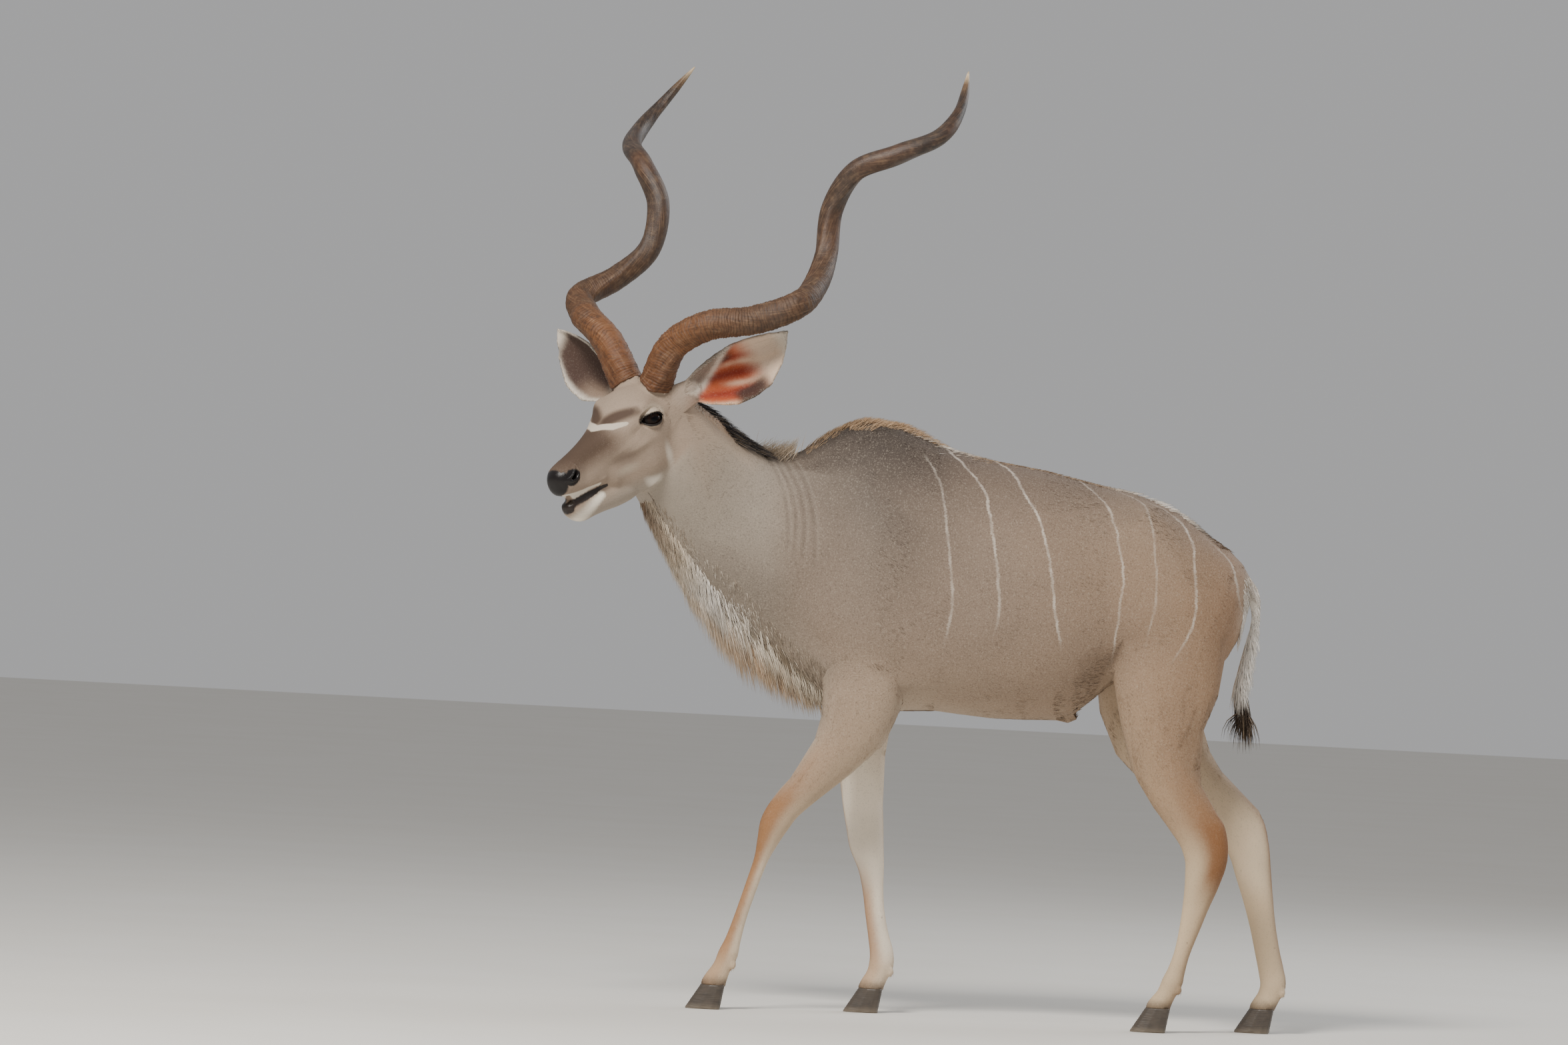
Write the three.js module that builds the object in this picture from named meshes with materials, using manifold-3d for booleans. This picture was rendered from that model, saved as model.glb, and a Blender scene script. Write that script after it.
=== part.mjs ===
// A greater kudu bull as a still museum model, life size, in millimetres: +Z up, the bull faces -X and its left side is -Y.
import * as THREE from "three";
import { mergeVertices } from "three/addons/utils/BufferGeometryUtils.js";
import Module from "manifold-3d";

const wasm = await Module();
wasm.setup();

// Sizes shared by the whole animal.
const ORIGIN = [-39, 80, 0]; // the middle of the bounding box on the floor, taken to zero at the end
const GAP = 0.3; // clear space between touching nodes
const TURN = 2 * Math.PI;
const FAR = 4000; // half side of the blocks that part the body
const FINE = 0.8; // how far the tidied surface may lie from the joined one

const rad = (degrees) => (degrees * Math.PI) / 180;
const vec = (x, y, z) => new THREE.Vector3(x, y, z);

// Catmull-Rom value through evenly numbered rows, for one field.
function through(rows, field, u) {
  const last = rows.length - 1;
  const i = Math.min(Math.floor(u), last - 1);
  const f = u - i;
  const pick = (k) => rows[Math.max(0, Math.min(last, k))][field];
  const [a, b, c, d] = [pick(i - 1), pick(i), pick(i + 1), pick(i + 2)];
  return (
    b +
    0.5 * f * (c - a + f * (2 * a - 5 * b + 4 * c - d + f * (3 * (b - c) + d - a)))
  );
}

// The rows resampled to `count` rows, every field smooth.
function resample(rows, count) {
  const out = [];
  for (let k = 0; k < count; k++) {
    const u = ((rows.length - 1) * k) / (count - 1);
    const row = {};
    for (const field of Object.keys(rows[0])) row[field] = through(rows, field, u);
    out.push(row);
  }
  return out;
}

// Piecewise linear value of y at x through [x, y] pairs.
function along(pairs, x) {
  let i = 0;
  while (i < pairs.length - 2 && x > pairs[i + 1][0]) i++;
  const [[x0, y0], [x1, y1]] = [pairs[i], pairs[i + 1]];
  return y0 + ((y1 - y0) * Math.max(0, Math.min(1, (x - x0) / (x1 - x0))));
}

function solidFrom(points, triangles) {
  const make = (tris) =>
    new wasm.Manifold(
      new wasm.Mesh({
        numProp: 3,
        vertProperties: new Float32Array(points.flatMap((p) => [p.x, p.y, p.z])),
        triVerts: new Uint32Array(tris.flat()),
      }),
    );
  const made = make(triangles);
  return made.volume() < 0 ? make(triangles.map(([a, b, c]) => [a, c, b])) : made;
}

// A closed solid over a list of rings of equal length, with a fan at each end.
function loft(rings) {
  const n = rings[0].length;
  const points = rings.flat();
  const triangles = [];
  for (let r = 0; r < rings.length - 1; r++)
    for (let i = 0; i < n; i++) {
      const [a, b] = [r * n + i, r * n + ((i + 1) % n)];
      triangles.push([a, b, b + n], [a, b + n, a + n]);
    }
  for (const [row, flip] of [[0, true], [rings.length - 1, false]]) {
    const centre = rings[row].reduce((s, p) => s.add(p), vec(0, 0, 0)).divideScalar(n);
    points.push(centre);
    for (let i = 0; i < n; i++) {
      const [a, b] = [row * n + i, row * n + ((i + 1) % n)];
      triangles.push(flip ? [points.length - 1, b, a] : [points.length - 1, a, b]);
    }
  }
  return solidFrom(points, triangles);
}

const signedPower = (v, p) => Math.sign(v) * Math.abs(v) ** p;

// One closed section: `up` and `side` are unit vectors, the reach differs above and below the centre.
function section({ centre, up, side, top, bottom, half, square, count }) {
  const ring = [];
  for (let i = 0; i < count; i++) {
    const a = (TURN * i) / count;
    const [s, c] = [Math.sin(a), Math.cos(a)];
    ring.push(
      centre
        .clone()
        .addScaledVector(side, half * signedPower(s, 2 / square))
        .addScaledVector(up, (c > 0 ? top : bottom) * signedPower(c, 2 / square)),
    );
  }
  return ring;
}

// Moves every ring point away from its ring centre where a named swelling reaches it; negative lifts are hollows.
function swell(rings, swellings, mirrored = true) {
  for (const ring of rings) {
    const centre = ring.reduce((s, p) => s.add(p), vec(0, 0, 0)).divideScalar(ring.length);
    for (const p of ring) {
      let lift = 0;
      for (const { at, reach, by } of swellings) {
        const y = mirrored ? Math.abs(p.y) : p.y;
        const d = ((p.x - at[0]) / reach[0]) ** 2 + ((y - at[1]) / reach[1]) ** 2 + ((p.z - at[2]) / reach[2]) ** 2;
        lift += by * Math.exp(-d);
      }
      p.addScaledVector(p.clone().sub(centre).normalize(), lift);
    }
  }
  return rings;
}

// A block that fills the half space behind a plane: everything against `normal` from `point`.
function behind(point, normal) {
  const turn = new THREE.Quaternion().setFromUnitVectors(vec(0, 0, 1), normal.clone().normalize());
  const m = new THREE.Matrix4().compose(point, turn, vec(1, 1, 1));
  return wasm.Manifold.cube([2 * FAR, 2 * FAR, 2 * FAR], true).translate([0, 0, -FAR]).transform(m.elements);
}

function block(low, high) {
  return wasm.Manifold.cube(high.map((v, i) => v - low[i]), false).translate(low);
}

function ellipsoid(centre, radii, axes, segments) {
  const m = new THREE.Matrix4().makeBasis(...axes).setPosition(centre);
  return wasm.Manifold.sphere(1, segments).scale(radii).transform(m.elements);
}

// The largest closed surface of a solid, so a sealed pocket between crossing locks goes.
const largest = (solid) =>
  solid.decompose().reduce((best, s) => (s.volume() > best.volume() ? s : best));

// Torso and neck: one loft from the rump to the throat. tx, tz: top line; bx, bz: bottom line; y: middle;
// turn: degrees the section faces to the left; half: half width; wide: level of the widest place; square: exponent.
const SPINE = [
  { tx: 752, tz: 1118, bx: 748, bz: 1030, y: 0, turn: 0, half: 34, wide: 0.5, square: 2 },
  { tx: 738, tz: 1150, bx: 730, bz: 960, y: 0, turn: 0, half: 92, wide: 0.52, square: 2.1 },
  { tx: 700, tz: 1184, bx: 690, bz: 893, y: 0, turn: 0, half: 138, wide: 0.48, square: 2.4 },
  { tx: 640, tz: 1222, bx: 630, bz: 858, y: 0, turn: 0, half: 164, wide: 0.45, square: 2.5 },
  { tx: 560, tz: 1277, bx: 550, bz: 848, y: 0, turn: 0, half: 178, wide: 0.44, square: 2.5 },
  { tx: 470, tz: 1309, bx: 462, bz: 856, y: 0, turn: 0, half: 184, wide: 0.44, square: 2.4 },
  { tx: 392, tz: 1323, bx: 396, bz: 812, y: 0, turn: 0, half: 198, wide: 0.46, square: 2.15 },
  { tx: 320, tz: 1338, bx: 322, bz: 752, y: 0, turn: 0, half: 212, wide: 0.46, square: 2.1 },
  { tx: 235, tz: 1356, bx: 235, bz: 740, y: 0, turn: 0, half: 220, wide: 0.46, square: 2.1 },
  { tx: 150, tz: 1367, bx: 150, bz: 739, y: 0, turn: 0, half: 220, wide: 0.46, square: 2.1 },
  { tx: 65, tz: 1381, bx: 65, bz: 745, y: 0, turn: 0, half: 213, wide: 0.45, square: 2.1 },
  { tx: -20, tz: 1406, bx: -20, bz: 748, y: 0, turn: 0, half: 200, wide: 0.44, square: 2.1 },
  { tx: -100, tz: 1445, bx: -100, bz: 744, y: 0, turn: 0, half: 182, wide: 0.38, square: 2.3 },
  { tx: -170, tz: 1454, bx: -180, bz: 747, y: 0, turn: 0, half: 172, wide: 0.36, square: 2.3 },
  { tx: -236, tz: 1446, bx: -262, bz: 762, y: 0, turn: 2, half: 160, wide: 0.38, square: 2.2 },
  { tx: -306, tz: 1410, bx: -335, bz: 805, y: -2, turn: 4, half: 150, wide: 0.44, square: 2.1 },
  { tx: -362, tz: 1372, bx: -405, bz: 862, y: -8, turn: 7, half: 140, wide: 0.47, square: 2.1 },
  { tx: -405, tz: 1357, bx: -482, bz: 915, y: -18, turn: 11, half: 130, wide: 0.5, square: 2.1 },
  { tx: -447, tz: 1363, bx: -556, bz: 975, y: -34, turn: 16, half: 120, wide: 0.52, square: 2.1 },
  { tx: -497, tz: 1392, bx: -616, bz: 1040, y: -56, turn: 22, half: 110, wide: 0.54, square: 2.1 },
  { tx: -545, tz: 1424, bx: -662, bz: 1108, y: -82, turn: 28, half: 102, wide: 0.55, square: 2.1 },
  { tx: -592, tz: 1456, bx: -702, bz: 1168, y: -112, turn: 34, half: 96, wide: 0.56, square: 2.1 },
  { tx: -634, tz: 1484, bx: -738, bz: 1228, y: -144, turn: 40, half: 86, wide: 0.56, square: 2.1 },
  { tx: -672, tz: 1498, bx: -762, bz: 1282, y: -176, turn: 46, half: 70, wide: 0.56, square: 2.1 },
  { tx: -706, tz: 1494, bx: -780, bz: 1330, y: -200, turn: 50, half: 50, wide: 0.56, square: 2.1 },
];
const BODY_RINGS = 36;
const BODY_SIDES = 22;
const BODY_SWELLINGS = [
  { at: [-165, 150, 1190], reach: [75, 120, 170], by: 13 }, // shoulder blade
  { at: [-110, 150, 900], reach: [95, 120, 95], by: 16 }, // upper arm
  { at: [-285, 130, 960], reach: [60, 110, 90], by: 10 }, // point of the shoulder
  { at: [20, 180, 1040], reach: [55, 120, 190], by: -9 }, // hollow behind the shoulder
  { at: [470, 150, 1235], reach: [45, 90, 40], by: 12 }, // hip bone
  { at: [405, 190, 1080], reach: [60, 120, 120], by: -12 }, // flank hollow
  { at: [600, 160, 1040], reach: [110, 120, 130], by: 14 }, // haunch
  { at: [-90, 40, 1430], reach: [55, 60, 70], by: -8 }, // dip behind the withers
];

function bodyLoft() {
  const rings = resample(SPINE, BODY_RINGS).map((r) => {
    const top = vec(r.tx, r.y, r.tz);
    const bottom = vec(r.bx, r.y, r.bz);
    const centre = bottom.clone().lerp(top, r.wide);
    return section({
      centre,
      up: top.clone().sub(bottom).normalize(),
      side: vec(Math.sin(rad(r.turn)), -Math.cos(rad(r.turn)), 0),
      top: top.distanceTo(centre),
      bottom: bottom.distanceTo(centre),
      half: r.half,
      square: r.square,
      count: BODY_SIDES,
    });
  });
  return loft(swell(rings, BODY_SWELLINGS));
}

// Legs: lofts along a spine in the side plane. x, z, y: middle; fore, aft: reach ahead and behind; half: half width.
const LEG_SIDES = 12;
const FORELEG_LEFT = [
  { x: -132, z: 1030, y: -78, fore: 66, aft: 66, half: 50 },
  { x: -146, z: 940, y: -92, fore: 90, aft: 88, half: 62 },
  { x: -160, z: 858, y: -98, fore: 104, aft: 95, half: 62 },
  { x: -176, z: 778, y: -104, fore: 104, aft: 99, half: 65 },
  { x: -197, z: 706, y: -107, fore: 86, aft: 90, half: 58 },
  { x: -232, z: 645, y: -108, fore: 66, aft: 68, half: 50 },
  { x: -276, z: 590, y: -109, fore: 52, aft: 56, half: 43 },
  { x: -318, z: 538, y: -110, fore: 44, aft: 44, half: 37 },
  { x: -350, z: 498, y: -110, fore: 42, aft: 38, half: 36 },
  { x: -374, z: 458, y: -110, fore: 39, aft: 36, half: 37 },
  { x: -390, z: 415, y: -110, fore: 28, aft: 28, half: 30 },
  { x: -404, z: 370, y: -110, fore: 19, aft: 20, half: 21 },
  { x: -424, z: 305, y: -110, fore: 17, aft: 18, half: 18 },
  { x: -446, z: 230, y: -110, fore: 17, aft: 18, half: 18 },
  { x: -462, z: 172, y: -110, fore: 20, aft: 22, half: 22 },
  { x: -472, z: 138, y: -110, fore: 25, aft: 27, half: 29 },
  { x: -484, z: 104, y: -110, fore: 25, aft: 24, half: 29 },
  { x: -497, z: 74, y: -110, fore: 31, aft: 28, half: 33 },
  { x: -503, z: 58, y: -110, fore: 34, aft: 31, half: 35 },
];
const FORELEG_RIGHT = [
  { x: -132, z: 1030, y: 78, fore: 66, aft: 66, half: 50 },
  { x: -145, z: 940, y: 92, fore: 90, aft: 88, half: 62 },
  { x: -157, z: 858, y: 98, fore: 103, aft: 94, half: 62 },
  { x: -166, z: 778, y: 104, fore: 100, aft: 91, half: 65 },
  { x: -172, z: 706, y: 106, fore: 84, aft: 70, half: 56 },
  { x: -174, z: 640, y: 107, fore: 66, aft: 60, half: 48 },
  { x: -172, z: 575, y: 108, fore: 54, aft: 60, half: 42 },
  { x: -168, z: 510, y: 109, fore: 47, aft: 56, half: 38 },
  { x: -160, z: 458, y: 110, fore: 44, aft: 52, half: 38 },
  { x: -151, z: 410, y: 110, fore: 42, aft: 46, half: 38 },
  { x: -139, z: 355, y: 110, fore: 30, aft: 38, half: 32 },
  { x: -128, z: 300, y: 110, fore: 27, aft: 28, half: 24 },
  { x: -120, z: 245, y: 110, fore: 26, aft: 26, half: 22 },
  { x: -109, z: 190, y: 110, fore: 27, aft: 28, half: 23 },
  { x: -100, z: 150, y: 110, fore: 30, aft: 32, half: 27 },
  { x: -98, z: 120, y: 110, fore: 32, aft: 32, half: 30 },
  { x: -106, z: 92, y: 110, fore: 30, aft: 28, half: 30 },
  { x: -116, z: 70, y: 110, fore: 32, aft: 30, half: 33 },
  { x: -120, z: 58, y: 110, fore: 34, aft: 32, half: 35 },
];
const HINDLEG_LEFT = [
  { x: 604, z: 1120, y: -80, fore: 96, aft: 84, half: 62 },
  { x: 588, z: 1015, y: -94, fore: 128, aft: 116, half: 80 },
  { x: 573, z: 912, y: -101, fore: 140, aft: 130, half: 76 },
  { x: 563, z: 825, y: -107, fore: 132, aft: 126, half: 71 },
  { x: 560, z: 745, y: -110, fore: 106, aft: 104, half: 62 },
  { x: 572, z: 668, y: -112, fore: 90, aft: 88, half: 52 },
  { x: 600, z: 598, y: -113, fore: 76, aft: 66, half: 43 },
  { x: 637, z: 535, y: -114, fore: 66, aft: 62, half: 36 },
  { x: 668, z: 482, y: -114, fore: 60, aft: 62, half: 34 },
  { x: 683, z: 432, y: -114, fore: 58, aft: 52, half: 35 },
  { x: 676, z: 378, y: -114, fore: 48, aft: 44, half: 33 },
  { x: 661, z: 318, y: -114, fore: 34, aft: 36, half: 26 },
  { x: 648, z: 258, y: -114, fore: 26, aft: 28, half: 22 },
  { x: 634, z: 200, y: -114, fore: 21, aft: 22, half: 21 },
  { x: 622, z: 156, y: -114, fore: 22, aft: 24, half: 24 },
  { x: 613, z: 126, y: -114, fore: 26, aft: 28, half: 29 },
  { x: 600, z: 94, y: -114, fore: 25, aft: 25, half: 28 },
  { x: 588, z: 70, y: -114, fore: 30, aft: 28, half: 32 },
  { x: 583, z: 58, y: -114, fore: 33, aft: 31, half: 34 },
];
const HINDLEG_RIGHT = [
  { x: 596, z: 1120, y: 80, fore: 96, aft: 88, half: 62 },
  { x: 578, z: 1015, y: 94, fore: 128, aft: 120, half: 80 },
  { x: 558, z: 912, y: 100, fore: 138, aft: 130, half: 76 },
  { x: 545, z: 825, y: 105, fore: 150, aft: 124, half: 71 },
  { x: 556, z: 740, y: 108, fore: 132, aft: 110, half: 62 },
  { x: 596, z: 665, y: 109, fore: 104, aft: 92, half: 52 },
  { x: 652, z: 600, y: 110, fore: 84, aft: 74, half: 43 },
  { x: 716, z: 548, y: 110, fore: 66, aft: 66, half: 37 },
  { x: 765, z: 500, y: 110, fore: 60, aft: 64, half: 35 },
  { x: 791, z: 450, y: 110, fore: 54, aft: 52, half: 36 },
  { x: 806, z: 392, y: 110, fore: 48, aft: 44, half: 34 },
  { x: 820, z: 330, y: 110, fore: 40, aft: 38, half: 28 },
  { x: 833, z: 268, y: 110, fore: 34, aft: 34, half: 24 },
  { x: 847, z: 205, y: 110, fore: 32, aft: 33, half: 23 },
  { x: 859, z: 156, y: 110, fore: 32, aft: 34, half: 26 },
  { x: 866, z: 122, y: 110, fore: 33, aft: 34, half: 30 },
  { x: 858, z: 92, y: 110, fore: 30, aft: 30, half: 29 },
  { x: 848, z: 70, y: 110, fore: 32, aft: 30, half: 32 },
  { x: 843, z: 58, y: 110, fore: 34, aft: 32, half: 34 },
];
const LEG_RINGS = 23;

function legLoft(rows) {
  const side = vec(0, -1, 0);
  const smooth = resample(rows, LEG_RINGS);
  return loft(
    smooth.map((r, i) => {
      const a = smooth[Math.max(0, i - 1)];
      const b = smooth[Math.min(smooth.length - 1, i + 1)];
      const run = i === smooth.length - 1 ? vec(0, 0, -1) : vec(b.x - a.x, 0, b.z - a.z).normalize();
      return section({
        centre: vec(r.x, r.y, r.z),
        up: vec(run.z, 0, -run.x),
        side,
        top: r.fore,
        bottom: r.aft,
        half: r.half,
        square: 2.15,
        count: LEG_SIDES,
      });
    }),
  );
}

// The head has its own axes: f toward the nose, l toward the animal's left, n toward the brow; zero lies midway between the eyes
const HEAD_YAW = rad(50);
const HEAD_PITCH = rad(26.5);
const HEAD_AT = vec(-788, -230, 1431);
const F = vec(
  -Math.cos(HEAD_YAW) * Math.cos(HEAD_PITCH),
  -Math.sin(HEAD_YAW) * Math.cos(HEAD_PITCH),
  -Math.sin(HEAD_PITCH),
);
const L = vec(Math.sin(HEAD_YAW), -Math.cos(HEAD_YAW), 0);
const N = F.clone().cross(L);
const inHead = (f, l, n) =>
  HEAD_AT.clone().addScaledVector(F, f).addScaledVector(L, l).addScaledVector(N, n);
const headWay = (f, l, n) => inHead(f, l, n).sub(HEAD_AT).normalize();

// at: place along the head; top, bottom: levels; middle: level of the widest place; half: half width there.
const SKULL = [
  { at: -168, top: 20, bottom: -120, middle: -40, half: 46, square: 2 },
  { at: -140, top: 46, bottom: -165, middle: -32, half: 70, square: 2.1 },
  { at: -105, top: 56, bottom: -186, middle: -24, half: 80, square: 2.2 },
  { at: -65, top: 60, bottom: -190, middle: -14, half: 85, square: 2.3 },
  { at: -25, top: 60, bottom: -191, middle: -6, half: 86, square: 2.4 },
  { at: 12, top: 54, bottom: -191, middle: -6, half: 83, square: 2.4 },
  { at: 48, top: 43, bottom: -189, middle: -16, half: 73, square: 2.3 },
  { at: 88, top: 26, bottom: -176, middle: -28, half: 61, square: 2.2 },
  { at: 128, top: 15, bottom: -146, middle: -38, half: 51, square: 2.2 },
  { at: 165, top: 7, bottom: -116, middle: -44, half: 43, square: 2.3 },
  { at: 200, top: 1, bottom: -102, middle: -48, half: 38, square: 2.4 },
  { at: 232, top: -4, bottom: -96, middle: -50, half: 37, square: 2.5 },
  { at: 260, top: -8, bottom: -91, middle: -50, half: 36, square: 2.4 },
  { at: 281, top: -14, bottom: -85, middle: -50, half: 32, square: 2.3 },
  { at: 294, top: -25, bottom: -77, middle: -51, half: 23, square: 2.1 },
  { at: 298, top: -38, bottom: -66, middle: -52, half: 11, square: 2 },
];
const JAW = [
  { at: 20, top: -120, bottom: -186, middle: -150, half: 40, square: 2 },
  { at: 70, top: -112, bottom: -191, middle: -150, half: 42, square: 2.1 },
  { at: 115, top: -110, bottom: -188, middle: -148, half: 38, square: 2.1 },
  { at: 160, top: -109, bottom: -180, middle: -144, half: 32, square: 2.1 },
  { at: 200, top: -106, bottom: -175, middle: -140, half: 28, square: 2.1 },
  { at: 235, top: -104, bottom: -172, middle: -136, half: 27, square: 2.1 },
  { at: 258, top: -102, bottom: -161, middle: -130, half: 25, square: 2.1 },
  { at: 273, top: -105, bottom: -145, middle: -124, half: 19, square: 2 },
  { at: 281, top: -112, bottom: -130, middle: -120, half: 9, square: 2 },
];
const HEAD_SIDES = 18;
const JAW_SIDES = 12;

function headSections(rows, rings, count) {
  return resample(rows, rings).map((r) =>
    section({
      centre: inHead(r.at, 0, r.middle),
      up: N,
      side: L,
      top: r.top - r.middle,
      bottom: r.middle - r.bottom,
      half: r.half,
      square: r.square,
      count,
    }),
  );
}

// Swellings of the head, each on both sides; at and reach are in the head's axes.
const HEAD_SWELLINGS = [
  { at: [8, 78, 34], reach: [30, 22, 20], by: 12 }, // brow over the eye
  { at: [0, 84, -2], reach: [24, 20, 16], by: -8 }, // eye socket
  { at: [-40, 84, -40], reach: [40, 30, 26], by: 7 }, // cheek bone behind the eye
  { at: [10, 70, -120], reach: [60, 40, 40], by: 8 }, // jaw muscle
  { at: [110, 58, -66], reach: [40, 30, 26], by: -5 }, // hollow of the cheek
  { at: [258, 34, -34], reach: [20, 16, 16], by: 4 }, // nostril wing
  { at: [205, 40, -84], reach: [40, 20, 16], by: 4 }, // upper lip
];
function swellHead(rings) {
  for (const ring of rings) {
    const centre = ring.reduce((s, p) => s.add(p), vec(0, 0, 0)).divideScalar(ring.length);
    for (const p of ring) {
      const q = p.clone().sub(HEAD_AT);
      const here = [q.dot(F), Math.abs(q.dot(L)), q.dot(N)];
      let lift = 0;
      for (const { at, reach, by } of HEAD_SWELLINGS)
        lift += by * Math.exp(-at.reduce((s, v, i) => s + ((here[i] - v) / reach[i]) ** 2, 0));
      p.addScaledVector(p.clone().sub(centre).normalize(), lift);
    }
  }
  return rings;
}

const EYE_RADIUS = 28;
const LID_THICK = 4;
const EYE_OUT = [0.3, 0.93, 0.12]; // the way the left eye looks
const EYE_AT = [-13, 68, -7];
const EYE_OPEN_LONG = 80;
const EYE_OPEN_HIGH = 29;

function eyeParts(side) {
  const centre = inHead(EYE_AT[0], side * EYE_AT[1], EYE_AT[2]);
  const out = headWay(EYE_OUT[0], side * EYE_OUT[1], EYE_OUT[2]);
  const rear = headWay(-1, side * 0.345, -0.18);
  const axes = [rear, out.clone().cross(rear).normalize(), out];
  const ball = (r) => ellipsoid(centre, [r, r, r], axes, 16);
  const almond = ellipsoid(
    centre.clone().addScaledVector(out, EYE_RADIUS + 4),
    [EYE_OPEN_LONG / 2, EYE_OPEN_HIGH / 2, 22],
    axes,
    16,
  );
  return { ball: ball(EYE_RADIUS), socket: ball(EYE_RADIUS + GAP), lids: ball(EYE_RADIUS + LID_THICK), almond };
}

// Horns: stations of the middle line in the head's axes, then the keel's own turning round the straight line from base to tip
const HORN_LINE = [
  { f: -80, l: 28, n: 22 },
  { f: -88, l: 45, n: 50 },
  { f: -121, l: 103, n: 140 },
  { f: -163, l: 193, n: 180 },
  { f: -236, l: 274, n: 161 },
  { f: -316, l: 354, n: 168 },
  { f: -431, l: 327, n: 171 },
  { f: -530, l: 289, n: 207 },
  { f: -599, l: 283, n: 299 },
  { f: -647, l: 348, n: 381 },
  { f: -714, l: 435, n: 399 },
  { f: -810, l: 491, n: 402 },
  { f: -915, l: 487, n: 432 },
  { f: -1019, l: 448, n: 486 },
];
const HORN_THICK = [[0, 42], [0.08, 42], [0.13, 40], [0.2, 37], [0.32, 37], [0.45, 31], [0.62, 28], [0.78, 25], [0.88, 19], [0.95, 11], [1, 1.5]];
const HORN_RINGS = 46;
const HORN_SIDES = 10;
const HORN_SEAT = 0.075; // share of the line inside the head's knob
const KNOB_MORE = 2; // the knob is this much thicker than the horn
const KEEL_START = 0.17;
const KEEL_TURNS = 1.94;
const KEEL_EASE = -0.15;
const KEEL_HIGH = 0.2;
const KEEL_SPREAD = 0.42;

const hornAt = (t) => {
  const u = t * (HORN_LINE.length - 1);
  return vec(through(HORN_LINE, "f", u), through(HORN_LINE, "l", u), through(HORN_LINE, "n", u));
};
const hornRun = (t) => hornAt(Math.min(1, t + 2e-3)).sub(hornAt(Math.max(0, t - 2e-3))).normalize();
const hornAxis = hornAt(1).sub(hornAt(0)).normalize();
const hornUp = vec(0, 0, 1).addScaledVector(hornAxis, -hornAxis.z).normalize();
const hornOut = hornAxis.clone().cross(hornUp);
function keelWay(t, run) {
  const a = KEEL_START + TURN * KEEL_TURNS * (t + KEEL_EASE * t * (1 - t));
  const way = hornUp.clone().multiplyScalar(Math.cos(a)).addScaledVector(hornOut, Math.sin(a));
  return way.addScaledVector(run, -way.dot(run)).normalize();
}

function hornRings(side, from, to, count, more) {
  const rings = [];
  for (let r = 0; r < count; r++) {
    const t = from + ((to - from) * r) / (count - 1);
    const run = hornRun(t);
    const keel = keelWay(t, run);
    const across = run.clone().cross(keel);
    const thick = along(HORN_THICK, t) + more;
    const ring = [];
    for (let i = 0; i < HORN_SIDES; i++) {
      const a = (TURN * i) / HORN_SIDES;
      const off = Math.min(a, TURN - a);
      const out = thick * (0.94 + KEEL_HIGH * Math.exp(-((off / KEEL_SPREAD) ** 2)) - 0.04 * Math.cos(2 * a));
      const p = hornAt(t)
        .addScaledVector(keel, out * Math.cos(a))
        .addScaledVector(across, out * Math.sin(a));
      ring.push(inHead(p.x, side * p.y, p.z));
    }
    rings.push(ring);
  }
  return rings;
}
function hornCut(side, shift) {
  const p = hornAt(HORN_SEAT);
  const run = hornRun(HORN_SEAT);
  const way = headWay(run.x, side * run.y, run.z);
  return behind(inHead(p.x, side * p.y, p.z).addScaledVector(way, shift), way);
}

// Ears: cups with a rolled root; front and rear are the reach of the two rims either side of the ear's own line
const EAR_ROOT = [-112, 92, 6];
const EAR_FRONT = [[0, 24], [0.12, 32], [0.24, 42], [0.4, 48], [0.55, 50], [0.7, 40], [0.85, 24], [0.95, 11], [1, 3]];
const EAR_REAR = [[0, 24], [0.1, 36], [0.2, 62], [0.36, 92], [0.52, 100], [0.66, 94], [0.83, 62], [0.94, 28], [1, 3]];
const EAR_DEPTH = [[0, 40], [0.15, 52], [0.3, 56], [0.5, 48], [0.7, 34], [0.9, 14], [1, 4]];
const EAR_THICK = 7;
const EAR_RINGS = 13;
const EAR_ARC = 7;
const EAR_SOLID = 0.1; // share of the length that is filled at the root
const EAR_FILL = 0.35; // the cup is fully open from here on
const EAR_SEAT = 46; // the ear's root up to here belongs to the head

const EAR_LEFT = { root: EAR_ROOT, way: [-206, 210, 92], face: vec(-0.1, -1, -0.12) };
const EAR_RIGHT = { root: [EAR_ROOT[0], -EAR_ROOT[1], EAR_ROOT[2]], way: [-80, -246, 132], face: vec(-0.93, -0.36, 0.1) };

function earRings({ root, way, face }, mirror) {
  const start = inHead(...root);
  const axis = headWay(...way);
  const length = Math.hypot(...way);
  const open = face.clone().addScaledVector(axis, -face.dot(axis)).normalize();
  const front = open.clone().cross(axis).multiplyScalar(mirror);
  const rings = [];
  for (let r = 0; r < EAR_RINGS; r++) {
    const t = r / (EAR_RINGS - 1);
    const [fore, rear, depth] = [along(EAR_FRONT, t), along(EAR_REAR, t), along(EAR_DEPTH, t)];
    const point = (s, thin) => {
      const reach = s > 0 ? fore - thin : rear - thin;
      return start
        .clone()
        .addScaledVector(axis, length * t)
        .addScaledVector(front, Math.max(reach, 0.6) * s)
        .addScaledVector(open, -Math.max(depth - thin, 0.6) * (1 - s * s) + 0.35 * depth);
    };
    const thin = Math.min(EAR_THICK, 0.8 * fore);
    const filled = t < EAR_SOLID ? 1 : Math.max(0, EAR_FILL - t);
    const back = [];
    const inside = [];
    for (let i = 0; i < EAR_ARC; i++) {
      const s = -1 + (2 * i) / (EAR_ARC - 1);
      const flat = point(s, 0).addScaledVector(open, depth * (1 - s * s) * 0.8);
      back.push(point(s, 0));
      inside.unshift(point(s, thin).lerp(flat, filled));
    }
    rings.push([...back, ...inside]);
  }
  return rings;
}

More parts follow.
